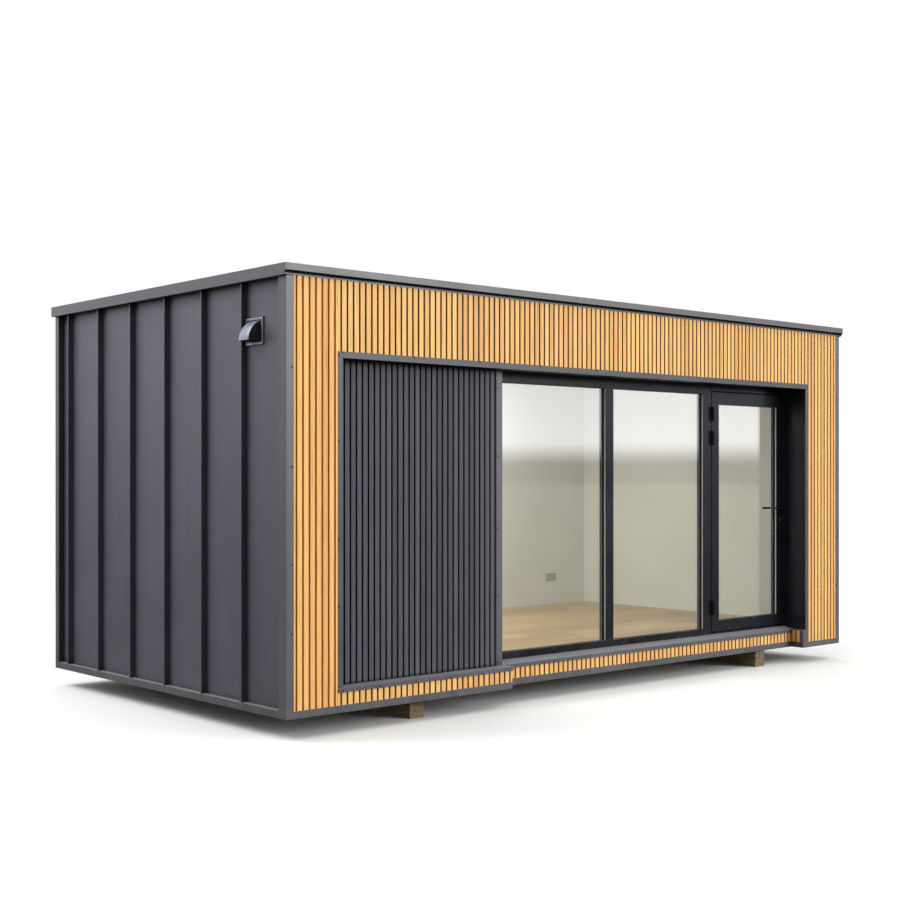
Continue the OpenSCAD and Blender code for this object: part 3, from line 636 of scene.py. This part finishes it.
@dataclass(frozen=True)
class SawnTimber(Finish):
    """Weathered sawn timber with its grain along one axis."""

    tints: Tints
    streak: Colour
    stretch: Point
    offset: Point = (0.31, 0.17, 0.53)
    rough: float = 0.85
    depth: float = 0.0012

    def paint(self, s: Surface) -> None:
        """Wires the surface.

        Args:
            s: The surface.
        """
        w, effects = s.wiring, s.effects
        grain = s.effect(effects.grain, Offset=self.offset, Stretch=self.stretch)
        patches = w.noise(s.position, 6.0, 4.0, 0.6)
        place = w.math("ADD", w.times(grain["Figure"], 0.6), w.times(patches, 0.4))
        wood = w.ramp(w.remap(place, 0.3, 0.7), self.tints)
        wood = w.mix(1.0, wood, w.remap(grain["Fibre"], 0.3, 0.7, 0.8, 1.12), "MULTIPLY")
        s.set(Base_Color=w.mix(w.times(grain["Streak"], 0.55), wood, self.streak),
              Roughness=w.remap(grain["Figure"], 0.2, 0.8, self.rough - 0.1, self.rough + 0.05))
        s.bump(w.math("SUBTRACT", grain["Fibre"], grain["Streak"]), self.depth, 0.7)


@dataclass(frozen=True)
class LaminateBoards(Finish):
    """Satin floor boards, each with its own tone from the board's attribute."""

    attribute: str
    tints: Tints = ((0.1, (0.34, 0.205, 0.098)), (0.5, (0.46, 0.295, 0.15)), (0.9, (0.56, 0.385, 0.215)))
    streak: Colour = (0.16, 0.10, 0.06)
    stretch: Point = (0.05, 1.0, 1.0)
    spread: Point = (3.1, 5.3, 7.7)

    def paint(self, s: Surface) -> None:
        """Wires the surface.

        Args:
            s: The surface.
        """
        w, effects = s.wiring, s.effects
        board = w.add("Attribute", attribute_name=self.attribute)
        offset = w.vector("MULTIPLY", board.outputs["Vector"], self.spread)
        grain = s.effect(effects.grain, Offset=offset, Stretch=self.stretch)
        place = w.math("ADD", w.times(board.outputs["Fac"], 0.6), w.times(grain["Figure"], 0.4))
        wood = w.ramp(place, self.tints)
        wood = w.mix(w.times(grain["Streak"], 0.45), wood, self.streak)
        s.set(Base_Color=w.mix(1.0, wood, w.remap(grain["Fibre"], 0.3, 0.7, 0.9, 1.06), "MULTIPLY"),
              Roughness=w.remap(grain["Fibre"], 0.2, 0.8, 0.34, 0.46))
        s.bump(grain["Fibre"], 0.0003, 0.4)


@dataclass(frozen=True)
class PaintedPanel(Finish):
    """Matte painted lining with a faint roller texture."""

    colour: Colour
    rough: float = 0.62
    peel_scale: float = 260.0

    def paint(self, s: Surface) -> None:
        """Wires the surface.

        Args:
            s: The surface.
        """
        w, effects = s.wiring, s.effects
        coat = s.effect(effects.coating, Scale=self.peel_scale)
        grey = w.times(w.remap(coat["Mottle"], 0.2, 0.8, 0.95, 1.03), w.remap(coat["Peel"], 0.2, 0.8, 0.985, 1.01))
        s.set(Base_Color=w.mix(1.0, self.colour, grey, "MULTIPLY"),
              Roughness=w.remap(coat["Mottle"], 0.2, 0.8, self.rough - 0.05, self.rough + 0.05))
        s.bump(coat["Peel"], 0.0004, 0.4)


@dataclass(frozen=True)
class RoofMembrane(Finish):
    """Dark membrane with welded laps, fine grit and the marks of dried puddles."""

    colour: Colour
    mark: Colour = (0.16, 0.15, 0.13)
    lap_shade: Colour = (0.02, 0.02, 0.022)
    lap_pitch: float = 1.02
    lap_width: float = 0.006

    def paint(self, s: Surface) -> None:
        """Wires the surface.

        Args:
            s: The surface.
        """
        w, effects = s.wiring, s.effects
        grit = w.noise(s.position, 700.0, 2.0, 0.6)
        pools = w.remap(w.noise(s.position, 1.3, 4.0, 0.6), 0.45, 0.62)
        rims = w.times(pools, w.math("SUBTRACT", 1.0, pools))
        lap = w.math("FRACT", w.math("DIVIDE", w.split(s.position)[0], self.lap_pitch))
        step = w.remap(lap, 0.0, self.lap_width, 1.0, 0.0)
        coat = s.effect(effects.coating)
        grey = w.mix(1.0, self.colour, w.remap(coat["Mottle"], 0.2, 0.8, 0.88, 1.13), "MULTIPLY")
        grey = w.mix(w.math("MULTIPLY", rims, 0.6, clamp=True), grey, self.mark)
        s.set(Base_Color=w.mix(w.times(step, 0.7), grey, self.lap_shade), Roughness=w.remap(grit, 0.2, 0.8, 0.7, 0.92))
        s.bump(w.math("ADD", w.times(grit, 0.3), lap), 0.002, 0.6)


@dataclass(frozen=True)
class PaneGlass(Finish):
    """Clear sealed glass that lets lamp light into the room."""

    tint: Colour
    coat_ior: float
    ior: float = 1.5

    def paint(self, s: Surface) -> None:
        """Wires the surface.

        Args:
            s: The surface.
        """
        w, effects = s.wiring, s.effects
        film = s.effect(effects.coating)
        s.set(Base_Color=self.tint, Roughness=0.0, IOR=self.ior, Transmission_Weight=1.0, Coat_Roughness=0.0,
              Coat_IOR=self.coat_ior, Coat_Weight=w.remap(film["Mottle"], 0.2, 0.8, 0.92, 1.0))
        s.blend(w.add("LightPath").outputs["Is Shadow Ray"], w.add("BsdfTransparent", self.tint).outputs[0])


@dataclass(frozen=True)
class MouldedPlastic(Finish):
    """Moulded plastic or rubber with a fine skin and a little dust."""

    colour: Colour
    rough: float
    dust_share: float
    dust: Colour = (0.20, 0.185, 0.16)
    peel_scale: float = 900.0

    def paint(self, s: Surface) -> None:
        """Wires the surface.

        Args:
            s: The surface.
        """
        w, effects = s.wiring, s.effects
        coat = s.effect(effects.coating, Scale=self.peel_scale)
        patches = w.remap(w.noise(s.position, 38.0, 4.0, 0.65), 0.45, 0.75, 0.0, self.dust_share)
        grey = w.mix(1.0, self.colour, w.remap(coat["Mottle"], 0.2, 0.8, 0.92, 1.08), "MULTIPLY")
        s.set(Base_Color=w.mix(patches, grey, self.dust),
              Roughness=w.math("ADD", w.remap(coat["Peel"], 0.2, 0.8, self.rough - 0.04, self.rough + 0.04), patches))
        s.bump(coat["Peel"], 0.00012, 0.35)


@dataclass(frozen=True)
class BrushedSteel(Finish):
    """Brushed steel of the lock cylinder."""

    colour: Colour
    stretch: Point = (1.0, 0.05, 1.0)
    line_scale: float = 2600.0
    peel_scale: float = 1200.0

    def paint(self, s: Surface) -> None:
        """Wires the surface.

        Args:
            s: The surface.
        """
        w, effects = s.wiring, s.effects
        lines = w.noise(w.vector("MULTIPLY", s.position, self.stretch), self.line_scale, 2.0, 0.6)
        coat = s.effect(effects.coating, Scale=self.peel_scale)
        s.set(Base_Color=w.mix(1.0, self.colour, w.remap(lines, 0.2, 0.8, 0.85, 1.05), "MULTIPLY"), Metallic=1.0,
              Roughness=w.remap(coat["Peel"], 0.2, 0.8, 0.24, 0.38))
        s.bump(lines, 0.00008, 0.3)


class Palette:
    """Every material of the pod, by slot, and by node where a node has its own grid of slats or its own painted shade.
    """

    def __init__(self) -> None:
        """Builds the shared effects and each finish."""
        effects = Effects()
        golden = ((0.05, (0.71, 0.362, 0.125)), (0.35, (0.82, 0.440, 0.134)), (0.65, (0.90, 0.525, 0.166)),
                  (0.95, (0.95, 0.590, 0.200)))
        dark = ((0.05, (0.056, 0.057, 0.070)), (0.5, (0.078, 0.079, 0.096)), (0.95, (0.104, 0.105, 0.126)))
        grey_wood = ((0.0, (0.085, 0.058, 0.032)), (0.5, (0.180, 0.130, 0.072)), (1.0, (0.29, 0.222, 0.130)))
        finishes = {
            Slot.SHEET: SeamedSheet((0.062, 0.062, 0.089)),
            Slot.TRIM: CoatedMetal((0.066, 0.064, 0.076), painted_shade_share=0.9, lying_share=0.42),
            Slot.GOLDEN: SlatTimber(golden, streak=(0.36, 0.150, 0.042), backing_and_gap_shade=(0.066, 0.028, 0.007), rough=0.56,
                                    streak_share=0.62, fibre_depth=0.0006, hidden_from=0.46, side=(0.34, 0.20, 0.10),
                                    eaves_shade_share=0.6),
            Slot.DARK: SlatTimber(dark, streak=(0.026, 0.027, 0.032), backing_and_gap_shade=(0.0010, 0.0010, 0.0016), rough=0.5,
                                  streak_share=0.5, fibre_depth=0.0005, hidden_from=0.97, hidden_to=0.50, shine=0.12),
            Slot.FRAME: CoatedMetal((0.0078, 0.0084, 0.0120), wear_and_top_light=(0.08, 0.08, 0.09), rough=0.24, dust_share=0.03,
                                    wear_share=0.15, low=0.30, painted_shade_share=0.4, shine=0.20,
                                    shine_tint=(0.86, 0.92, 1.0)),
            Slot.HARDWARE: CoatedMetal((0.004, 0.004, 0.005), wear_and_top_light=(0.09, 0.09, 0.09), rough=0.36, dust_share=0.0,
                                       wear_share=0.08, shine=0.05),
            Slot.PANEL: PaintedPanel((0.80, 0.82, 0.79)),
            Slot.MEMBRANE: RoofMembrane((0.055, 0.056, 0.060)),
            Slot.BOARD: SawnTimber(((0.0, (0.10, 0.09, 0.08)), (1.0, (0.17, 0.155, 0.135))),
                                   streak=(0.07, 0.06, 0.05), stretch=(0.06, 1.0, 1.0)),
            Slot.BEARER: SawnTimber(grey_wood, streak=(0.07, 0.05, 0.034), stretch=(1.0, 0.05, 1.0)),
            Slot.LAMINATE: LaminateBoards(BOARD_TONE),
            Slot.GLASS: PaneGlass((0.95, 0.965, 0.95), coat_ior=2.3),
            Slot.STEEL: BrushedSteel((0.62, 0.62, 0.63)),
            # The vent's black parts are partly its black moulded body; the hood's cheeks are black and the hood a
            # bluish grey as painted reflection, for the dark and bright surroundings that the steel hood mirrors.
            Slot.VENT: CoatedMetal((0.22, 0.225, 0.29), wear_and_top_light=(0.5, 0.5, 0.52), rough=0.3, dust_share=0.0),
            Slot.CHEEK: MouldedPlastic((0.004, 0.004, 0.006), rough=0.5, dust_share=0.03),
            Slot.SOCKET: MouldedPlastic((0.36, 0.36, 0.35), rough=0.3, dust_share=0.05),
        }
        self.by_slot = {slot: finish.material(slot.value, effects) for slot, finish in finishes.items()}
        slats, trim = finishes[Slot.GOLDEN], finishes[Slot.TRIM]
        # Painted bounce light: the left column's gaps and slat sides get a bright amber, for light bounced between its
        # slats.
        column = replace(slats, backing_and_gap_shade=(0.62, 0.24, 0.010), side=(0.60, 0.35, 0.10))
        plinth = replace(slats, start=(-1.064, -1.471, 0.0))
        # The front roof trim gets a painted shadow on the strip under its fascia.
        eaves_shade = replace(trim, painted_shadow_below=2.940)
        # The opening trims get painted shade on their reveals and soffit.
        reveal_shade = replace(trim, reveal_shade_share=0.96, shine=0.3).material("reveal_shade_trim", effects)
        self.by_node = {"left_slat_column": column.material("golden_column_slats", effects),
                        "glazing_plinth_slats": plinth.material("golden_plinth_slats", effects),
                        "front_roof_trim": eaves_shade.material("eaves_shadow_trim", effects), "left_opening_trim": reveal_shade,
                        "top_opening_trim": reveal_shade, "right_opening_trim": reveal_shade}
        rubber = MouldedPlastic((0.006, 0.006, 0.007), rough=0.6, dust_share=0.03)
        tape = MouldedPlastic((0.52, 0.52, 0.53), rough=0.4, dust_share=0.1)
        self.rubber, self.tape = rubber.material("gasket_rubber", effects), tape.material("glazing_tape", effects)


class Mesh:
    """Makes meshes from rows of points and links them into the scene."""

    def __init__(self, name: str) -> None:
        """Starts an empty mesh.

        Args:
            name: Name of the piece.
        """
        self.name = name
        self.data = bmesh.new()

    def loft(self, rings: list[list[Point]], close_ends: bool = True) -> list[bmesh.types.BMFace]:
        """Joins rings of points by quads.

        Args:
            rings: Rings with the same number of points.
            close_ends: Whether the first and last ring get a face, or else are joined.

        Returns:
            The new faces.
        """
        rows = [[self.data.verts.new(p) for p in ring] for ring in rings]
        count = len(rows[0])
        pairs = list(zip(rows, rows[1:])) + ([] if close_ends else [(rows[-1], rows[0])])
        faces = [self.data.faces.new((a[i], a[(i + 1) % count], b[(i + 1) % count], b[i]))
                 for a, b in pairs for i in range(count)]
        if close_ends:
            faces += [self.data.faces.new(rows[0][::-1]), self.data.faces.new(rows[-1])]
        return faces

    def finish(self, body: Body, slot: Slot, material: bpy.types.Material) -> bpy.types.Object:
        """Turns the mesh into a piece that rides on a body.

        Args:
            body: The body.
            slot: The record's slot; not used.
            material: Its material.

        Returns:
            The piece.
        """
        bmesh.ops.recalc_face_normals(self.data, faces=self.data.faces)
        mesh = bpy.data.meshes.new(self.name)
        self.data.to_mesh(mesh)
        self.data.free()
        mesh.materials.append(material)
        piece = bpy.data.objects.new(self.name, mesh)
        bpy.context.scene.collection.objects.link(piece)
        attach(piece, body.value)
        LOG.info("piece %s: %d faces on %s", self.name, len(mesh.polygons), body.value)
        return piece


@dataclass
class SolidDress:
    """Puts the materials on the pod's solids and rounds their edges."""

    frame: dict
    palette: Palette
    least_turn: float = math.radians(32.0)
    weld: float = 0.00002
    segments: int = 2
    widths: dict[Slot, float] = field(default_factory=lambda: {
        Slot.GOLDEN: 0.0006, Slot.DARK: 0.0006, Slot.TRIM: 0.0008, Slot.SHEET: 0.0008, Slot.FRAME: 0.0012,
        Slot.HARDWARE: 0.0009, Slot.VENT: 0.0008, Slot.CHEEK: 0.0005, Slot.BEARER: 0.004, Slot.SOCKET: 0.0012,
        Slot.STEEL: 0.0006})

    def round_edges(self, node: str, width: float) -> None:
        """Rounds the sharp edges of a solid with modifiers, which leave its mesh as it is.

        Args:
            node: Name of the solid.
            width: Width of the rounding.
        """
        piece = self.frame["nodes"][node]
        weld = piece.modifiers.new("weld", "WELD")
        weld.merge_threshold = self.weld
        bevel = piece.modifiers.new("edge", "BEVEL")
        bevel.width = width
        bevel.segments = self.segments
        bevel.limit_method = "ANGLE"
        bevel.angle_limit = self.least_turn

    def dress(self) -> None:
        """Dresses every solid with the material of its slot."""
        for row in self.frame["record"]["subparts"]:
            slot = Slot(row["material_slot"])
            piece = self.frame["nodes"][row["node"]]
            for place in piece.material_slots:
                place.material = self.palette.by_node.get(row["node"], self.palette.by_slot[slot])
            if slot in self.widths:
                self.round_edges(row["node"], self.widths[slot])


@dataclass
class FloorBoards:
    """Laminate boards of the room, laid along its length with staggered ends."""

    palette: Palette
    width: float = 0.192
    length: float = 1.286
    joint: float = 0.0008
    edge: float = 0.0014
    first_shares: Pair = (0.25, 0.95)
    shortest: float = 0.2
    seed: int = 7

    def board(self, mesh: Mesh, low: Vector, high: Vector) -> list[bmesh.types.BMFace]:
        """Adds one board with a chamfer round its top.

        Args:
            mesh: The mesh that it goes into.
            low: Lowest corner.
            high: Highest corner.

        Returns:
            The faces of the board.
        """
        rings = [[(x, y, z) for x, y in ((low.x + e, low.y + e), (high.x - e, low.y + e), (high.x - e, high.y - e),
                                        (low.x + e, high.y - e))]
                 for z, e in ((low.z, 0.0), (high.z - self.edge, 0.0), (high.z, self.edge))]
        return mesh.loft(rings)

    def build(self) -> bpy.types.Object:
        """Builds all the boards as one piece in place of the plain floor.

        Returns:
            The piece.
        """
        low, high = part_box("floor_boards")
        mesh = Mesh("floor_planks")
        tone = mesh.data.faces.layers.float.new(BOARD_TONE)
        draw = random.Random(self.seed)
        rows = round((high.y - low.y) / self.width)
        step = (high.y - low.y) / rows
        for row in range(rows):
            ends = [low.x]
            place = low.x + self.length * draw.uniform(*self.first_shares)
            while place < high.x - self.shortest:
                ends.append(place)
                place += self.length
            ends.append(high.x)
            for left, right in zip(ends, ends[1:]):
                shade = draw.random()
                y = low.y + row * step
                for face in self.board(mesh, Vector((left + self.joint / 2, y + self.joint / 2, low.z)),
                                       Vector((right - self.joint / 2, y + step - self.joint / 2, high.z))):
                    face[tone] = shade
        piece = mesh.finish(Body.POD, Slot.LAMINATE, self.palette.by_slot[Slot.LAMINATE])
        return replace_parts(piece, "floor_boards")


@dataclass
class GlazingSeals:
    """Rubber gaskets on both faces of the panes, and the pale glazing tape on the reveals in front of them."""

    palette: Palette
    bite: float = 0.014
    width: float = 0.004
    rise: float = 0.012
    inset: float = 0.0005
    tape_from: float = 0.0125
    tape_to: float = 0.0215
    tape_thick: float = 0.0016
    profile: tuple[Pair, ...] = ((0.0, 0.0), (1.0, 0.0), (0.8, 0.55), (0.35, 1.0), (0.0, 1.0))

    def lights(self, node: str) -> list[tuple[Vector, Vector]]:
        """Finds the daylight openings over the panes of a node.

        Args:
            node: Name of the node.

        Returns:
            The lowest and highest corner of each pane, without the rim that is let into the frame.
        """
        low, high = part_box(node)
        middle = (low.x + high.x) / 2
        xs = [v.co.x for v in bpy.data.objects[node].data.vertices]
        cuts = [low.x, max(x for x in xs if x < middle), min(x for x in xs if x > middle), high.x]
        spans = [(cuts[0], cuts[1]), (cuts[2], cuts[3])] if cuts[1] > low.x + self.bite else [(low.x, high.x)]
        rim = Vector((self.bite, 0.0, self.bite))
        return [(Vector((left, low.y, low.z)) + rim, Vector((right, high.y, high.z)) - rim) for left, right in spans]

    def ring(self, mesh: Mesh, low: Vector, high: Vector, face_y: float, out: float) -> None:
        """Adds one gasket round a daylight opening.

        Args:
            mesh: The mesh that it goes into.
            low: Lowest corner of the opening.
            high: Highest corner of the opening.
            face_y: Plane of the glass that it lies on.
            out: Direction away from the glass, -1 to the front or 1 to the back.
        """
        section = [(self.width * u, self.rise * v) for u, v in self.profile]
        corners = ((low.x, low.z, 1, 1), (high.x, low.z, -1, 1), (high.x, high.z, -1, -1), (low.x, high.z, 1, -1))
        rings = [[(x + sx * (u + self.inset), face_y + out * (v + self.inset), z + sz * (u + self.inset))
                  for u, v in section] for x, z, sx, sz in corners]
        mesh.loft(rings, close_ends=False)

    def tapes(self, mesh: Mesh, low: Vector, high: Vector) -> None:
        """Adds the tape on both sides of a daylight opening.

        Args:
            mesh: The mesh that it goes into.
            low: Lowest corner of the opening, on the front of the glass.
            high: Highest corner of the opening.
        """
        for x, side in ((low.x, 1.0), (high.x, -1.0)):
            near = x + side * self.inset
            far = near + side * self.tape_thick
            front, back = low.y - self.tape_to, low.y - self.tape_from
            plan = ((near, front), (far, front + self.tape_thick), (far, back), (near, back))
            mesh.loft([[(u, v, z) for u, v in plan] for z in (low.z + self.width, high.z - self.width)])

    def build(self) -> list[bpy.types.Object]:
        """Builds the gaskets and tapes of the fixed panes and of the door.

        Returns:
            The pieces.
        """
        pieces = []
        for name, node, body in (("window", "window_panes", Body.POD), ("door", "door_pane", Body.DOOR)):
            gaskets, tapes = Mesh(name + "_gaskets"), Mesh(name + "_tapes")
            for low, high in self.lights(node):
                self.ring(gaskets, low, high, low.y, -1.0)
                self.ring(gaskets, low, high, high.y, 1.0)
                self.tapes(tapes, low, high)
            pieces += [gaskets.finish(body, Slot.HARDWARE, self.palette.rubber),
                       tapes.finish(body, Slot.HARDWARE, self.palette.tape)]
        return pieces


@dataclass
class FrameSeals:
    """Dark seals of the frame: at both ends of the recess over its head, and behind the foot of the door."""

    palette: Palette
    thick: float = 0.003
    inset: float = 0.0005
    strip_thick: float = 0.0026
    strip_rise: float = 0.019
    strip_drop: float = 0.0035
    strip_reach: float = 0.008

    def head(self, mesh: Mesh) -> None:
        """Adds the two beads over the head.

        Args:
            mesh: The mesh that they go into.
        """
        low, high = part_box("frame_packer")
        front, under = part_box("frame_posts")[0].y + self.inset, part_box("top_opening_trim")[0].z - self.inset
        for x, side in ((low.x, 1.0), (high.x, -1.0)):
            near, far = x + side * self.inset, x + side * (self.inset + self.thick)
            plan = ((near, front), (far, front + self.thick), (far, low.y - self.inset), (near, low.y - self.inset))
            mesh.loft([[(u, v, z) for u, v in plan] for z in (low.z + self.inset, under)])

    def foot(self, mesh: Mesh) -> None:
        """Adds the strip behind the door, which stands on the threshold in front of the floor boards.

        Args:
            mesh: The mesh that it goes into.
        """
        low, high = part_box("door_stiles")
        back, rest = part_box("floor_boards")[0].y - self.inset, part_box("floor_boards")[1].z
        front, edge = back - self.strip_thick, self.strip_thick / 2
        foot, top = rest - self.strip_drop, rest + self.strip_rise
        section = ((front, foot), (back, foot), (back, top - edge), (back - edge, top), (front, top - edge))
        mesh.loft([[(x, y, z) for y, z in section] for x in (low.x - self.strip_reach, high.x + self.strip_reach)])

    def build(self) -> bpy.types.Object:
        """Builds all the seals as one piece.

        Returns:
            The piece.
        """
        mesh = Mesh("frame_seals")
        self.head(mesh)
        self.foot(mesh)
        return mesh.finish(Body.POD, Slot.HARDWARE, self.palette.rubber)


@dataclass
class TrimScrews:
    """Small black screws along the trims beside the slats."""

    palette: Palette
    radius: float = 0.0058
    sides: int = 12
    corner_rises: tuple[float, ...] = (0.532, 0.968, 1.578, 2.202)
    opening_rises: tuple[float, ...] = (0.681, 1.110, 1.749, 2.300)
    panel_rises: tuple[float, ...] = (0.183, 0.657, 1.144, 1.659, 2.150)
    profile: tuple[Pair, ...] = ((1.0, 0.0), (1.0, 0.22), (0.82, 0.42), (0.5, 0.5), (0.4, 0.5), (0.34, 0.24))
    corner_in: float = 0.044
    panel_in: float = 0.044 / 3
    edge_in: float = 0.007
    row_in: float = 0.038
    sill_step: float = 0.306
    top_step: float = 0.60

    def head(self, mesh: Mesh, place: Point) -> None:
        """Adds one screw head that faces the front.

        Args:
            mesh: The mesh that it goes into.
            place: Middle of its seat.
        """
        x, y, z = place
        angles = [2 * math.pi * k / self.sides for k in range(self.sides)]
        mesh.loft([[(x + self.radius * share * math.cos(a), y - self.radius * rise,
                     z + self.radius * share * math.sin(a)) for a in angles] for share, rise in self.profile])

    def build(self) -> bpy.types.Object:
        """Builds all the screws as one piece.

        Returns:
            The piece.
        """
        mesh = Mesh("trim_screws")
        low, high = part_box("corner_trims")
        left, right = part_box("left_opening_trim"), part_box("right_opening_trim")
        top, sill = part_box("top_opening_trim"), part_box("panel_sill")
        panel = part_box("panel_corner_trim")
        for rise in self.corner_rises:
            for x in (low.x + self.corner_in, high.x - self.corner_in):
                self.head(mesh, (x, low.y, low.z + rise))
        for rise in self.opening_rises:
            for x in (left[0].x + self.edge_in, right[1].x - self.edge_in):
                self.head(mesh, (x, left[0].y, low.z + rise))
        for rise in self.panel_rises:
            self.head(mesh, (panel[0].x + self.panel_in, panel[0].y, low.z + rise))
        for row, edge, step in ((sill, sill[0].z + self.edge_in, self.sill_step),
                                (top, top[1].z - self.edge_in, self.top_step)):
            for k in range(int((row[1].x - row[0].x) / step)):
                self.head(mesh, (row[0].x + self.row_in + step * k, row[0].y, edge))
        return mesh.finish(Body.POD, Slot.HARDWARE, self.palette.by_slot[Slot.HARDWARE])


@dataclass(frozen=True)
class Lamp:
    """One soft lamp of the studio."""

    name: str
    place: Point
    target: Point
    sides: Pair
    watts: float
    unseen: bool = False

    def hang(self) -> None:
        """Adds the lamp, turned to its target."""
        data = bpy.data.lights.new(self.name, "AREA")
        data.shape = "RECTANGLE"
        data.size, data.size_y = self.sides
        data.energy = self.watts
        lamp = bpy.data.objects.new(self.name, data)
        lamp.location = self.place
        lamp.rotation_euler = (Vector(self.target) - Vector(self.place)).to_track_quat("-Z", "Y").to_euler()
        bpy.context.scene.collection.objects.link(lamp)
        if self.unseen:
            lamp.visible_camera = lamp.visible_glossy = lamp.visible_transmission = False


@dataclass
class Studio:
    """Plain pale floor, soft light and the camera."""

    camera_place: Point = (-8.061, -8.849, 1.681)
    camera_turn: float = math.radians(-41.41)
    lens: float = 56.43
    shift: float = 0.0254
    sight: float = 200.0
    floor_size: float = 90.0
    floor_fade: Pair = (4.5, 12.0)
    floor_colour: Colour = (0.80, 0.80, 0.79)
    floor_bounce: Colour = (0.12, 0.12, 0.117)
    mirrored_floor: Colour = (0.31, 0.305, 0.235)
    mirrored_rim: Colour = (0.15, 0.15, 0.12)
    mirrored_sky: Colour = (1.58, 1.59, 1.67)
    rim_rises: Pair = (-0.011, -0.005)
    sky_rises: Pair = (0.004, 0.024)
    sky_top: float = 0.9
    sky_low: float = 0.40
    sky_high: float = 1.60
    white: Colour = (1.0, 1.0, 1.0)
    lamps: tuple[Lamp, ...] = (
        Lamp("side_lamp", (-9.0, 4.0, 9.0), (0.0, 0.0, 1.2), (5.0, 5.0), 620.0),
        Lamp("front_lamp", (62.0, -100.0, 35.0), (0.0, 0.0, 1.2), (40.0, 40.0), 92000.0),
        Lamp("room_lamp", (-0.7, 0.55, 2.72), (-0.7, 0.55, 0.0), (4.2, 1.4), 76.0, unseen=True))

    def camera(self) -> None:
        """Adds the camera at the viewing angle."""
        data = bpy.data.cameras.new("camera")
        data.lens = self.lens
        data.shift_y = self.shift
        data.clip_end = self.sight
        camera = bpy.data.objects.new("camera", data)
        camera.location = self.camera_place
        camera.rotation_euler = (math.radians(90.0), 0.0, self.camera_turn)
        bpy.context.scene.collection.objects.link(camera)
        bpy.context.scene.camera = camera

    def floor(self) -> None:
        """Adds the floor, pale as the camera sees it and fading to white far from the pod."""
        mesh = bpy.data.meshes.new("studio_floor")
        half = self.floor_size / 2
        mesh.from_pydata([(-half, -half, 0), (half, -half, 0), (half, half, 0), (-half, half, 0)], [], [(0, 1, 2, 3)])
        floor = bpy.data.objects.new("studio_floor", mesh)
        bpy.context.scene.collection.objects.link(floor)
        s = Surface("studio_floor")
        w = s.wiring
        path = w.add("LightPath").outputs
        s.set(Base_Color=w.mix(path["Is Camera Ray"], self.floor_bounce, self.floor_colour), Roughness=0.9)
        far = w.remap(w.math("POWER", w.vector("DOT_PRODUCT", s.position, s.position), 0.5), *self.floor_fade)
        plain = w.add("Emission", w.mix(path["Is Glossy Ray"], self.white, self.mirrored_floor))
        s.blend(w.math("MAXIMUM", w.times(far, path["Is Camera Ray"]), path["Is Glossy Ray"]), plain.outputs[0])
        mesh.materials.append(s.material)

    def world(self) -> None:
        """Adds the white surroundings and their soft light."""
        world = bpy.data.worlds.new("studio")
        bpy.context.scene.world = world
        world.use_nodes = True
        world.node_tree.nodes.clear()
        w = Wiring(world.node_tree)
        path = w.add("LightPath").outputs
        height = w.split(w.add("TexCoord").outputs["Generated"])[2]
        light = w.remap(height, 0.0, self.sky_top, self.sky_low, self.sky_high)
        shine = w.mix(w.remap(height, *self.rim_rises), self.mirrored_floor, self.mirrored_rim)
        shine = w.mix(w.remap(height, *self.sky_rises), shine, self.mirrored_sky)
        unseen = w.mix(path["Is Glossy Ray"], light, shine)
        sky = w.add("Background", w.mix(path["Is Camera Ray"], unseen, self.white), 1.0)
        w.add("OutputWorld", sky.outputs[0])

    def build(self) -> None:
        """Builds the whole studio."""
        self.camera()
        self.floor()
        self.world()
        for lamp in self.lamps:
            lamp.hang()
        bpy.context.scene.view_settings.view_transform = "Standard"


def main() -> None:
    """Builds the classes in order."""
    logging.basicConfig(level=logging.INFO, format="%(name)s: %(message)s")
    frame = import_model()
    Studio().build()
    palette = Palette()
    SolidDress(frame, palette).dress()
    FloorBoards(palette).build()
    GlazingSeals(palette).build()
    FrameSeals(palette).build()
    TrimScrews(palette).build()


if __name__ == "__main__":
    main()
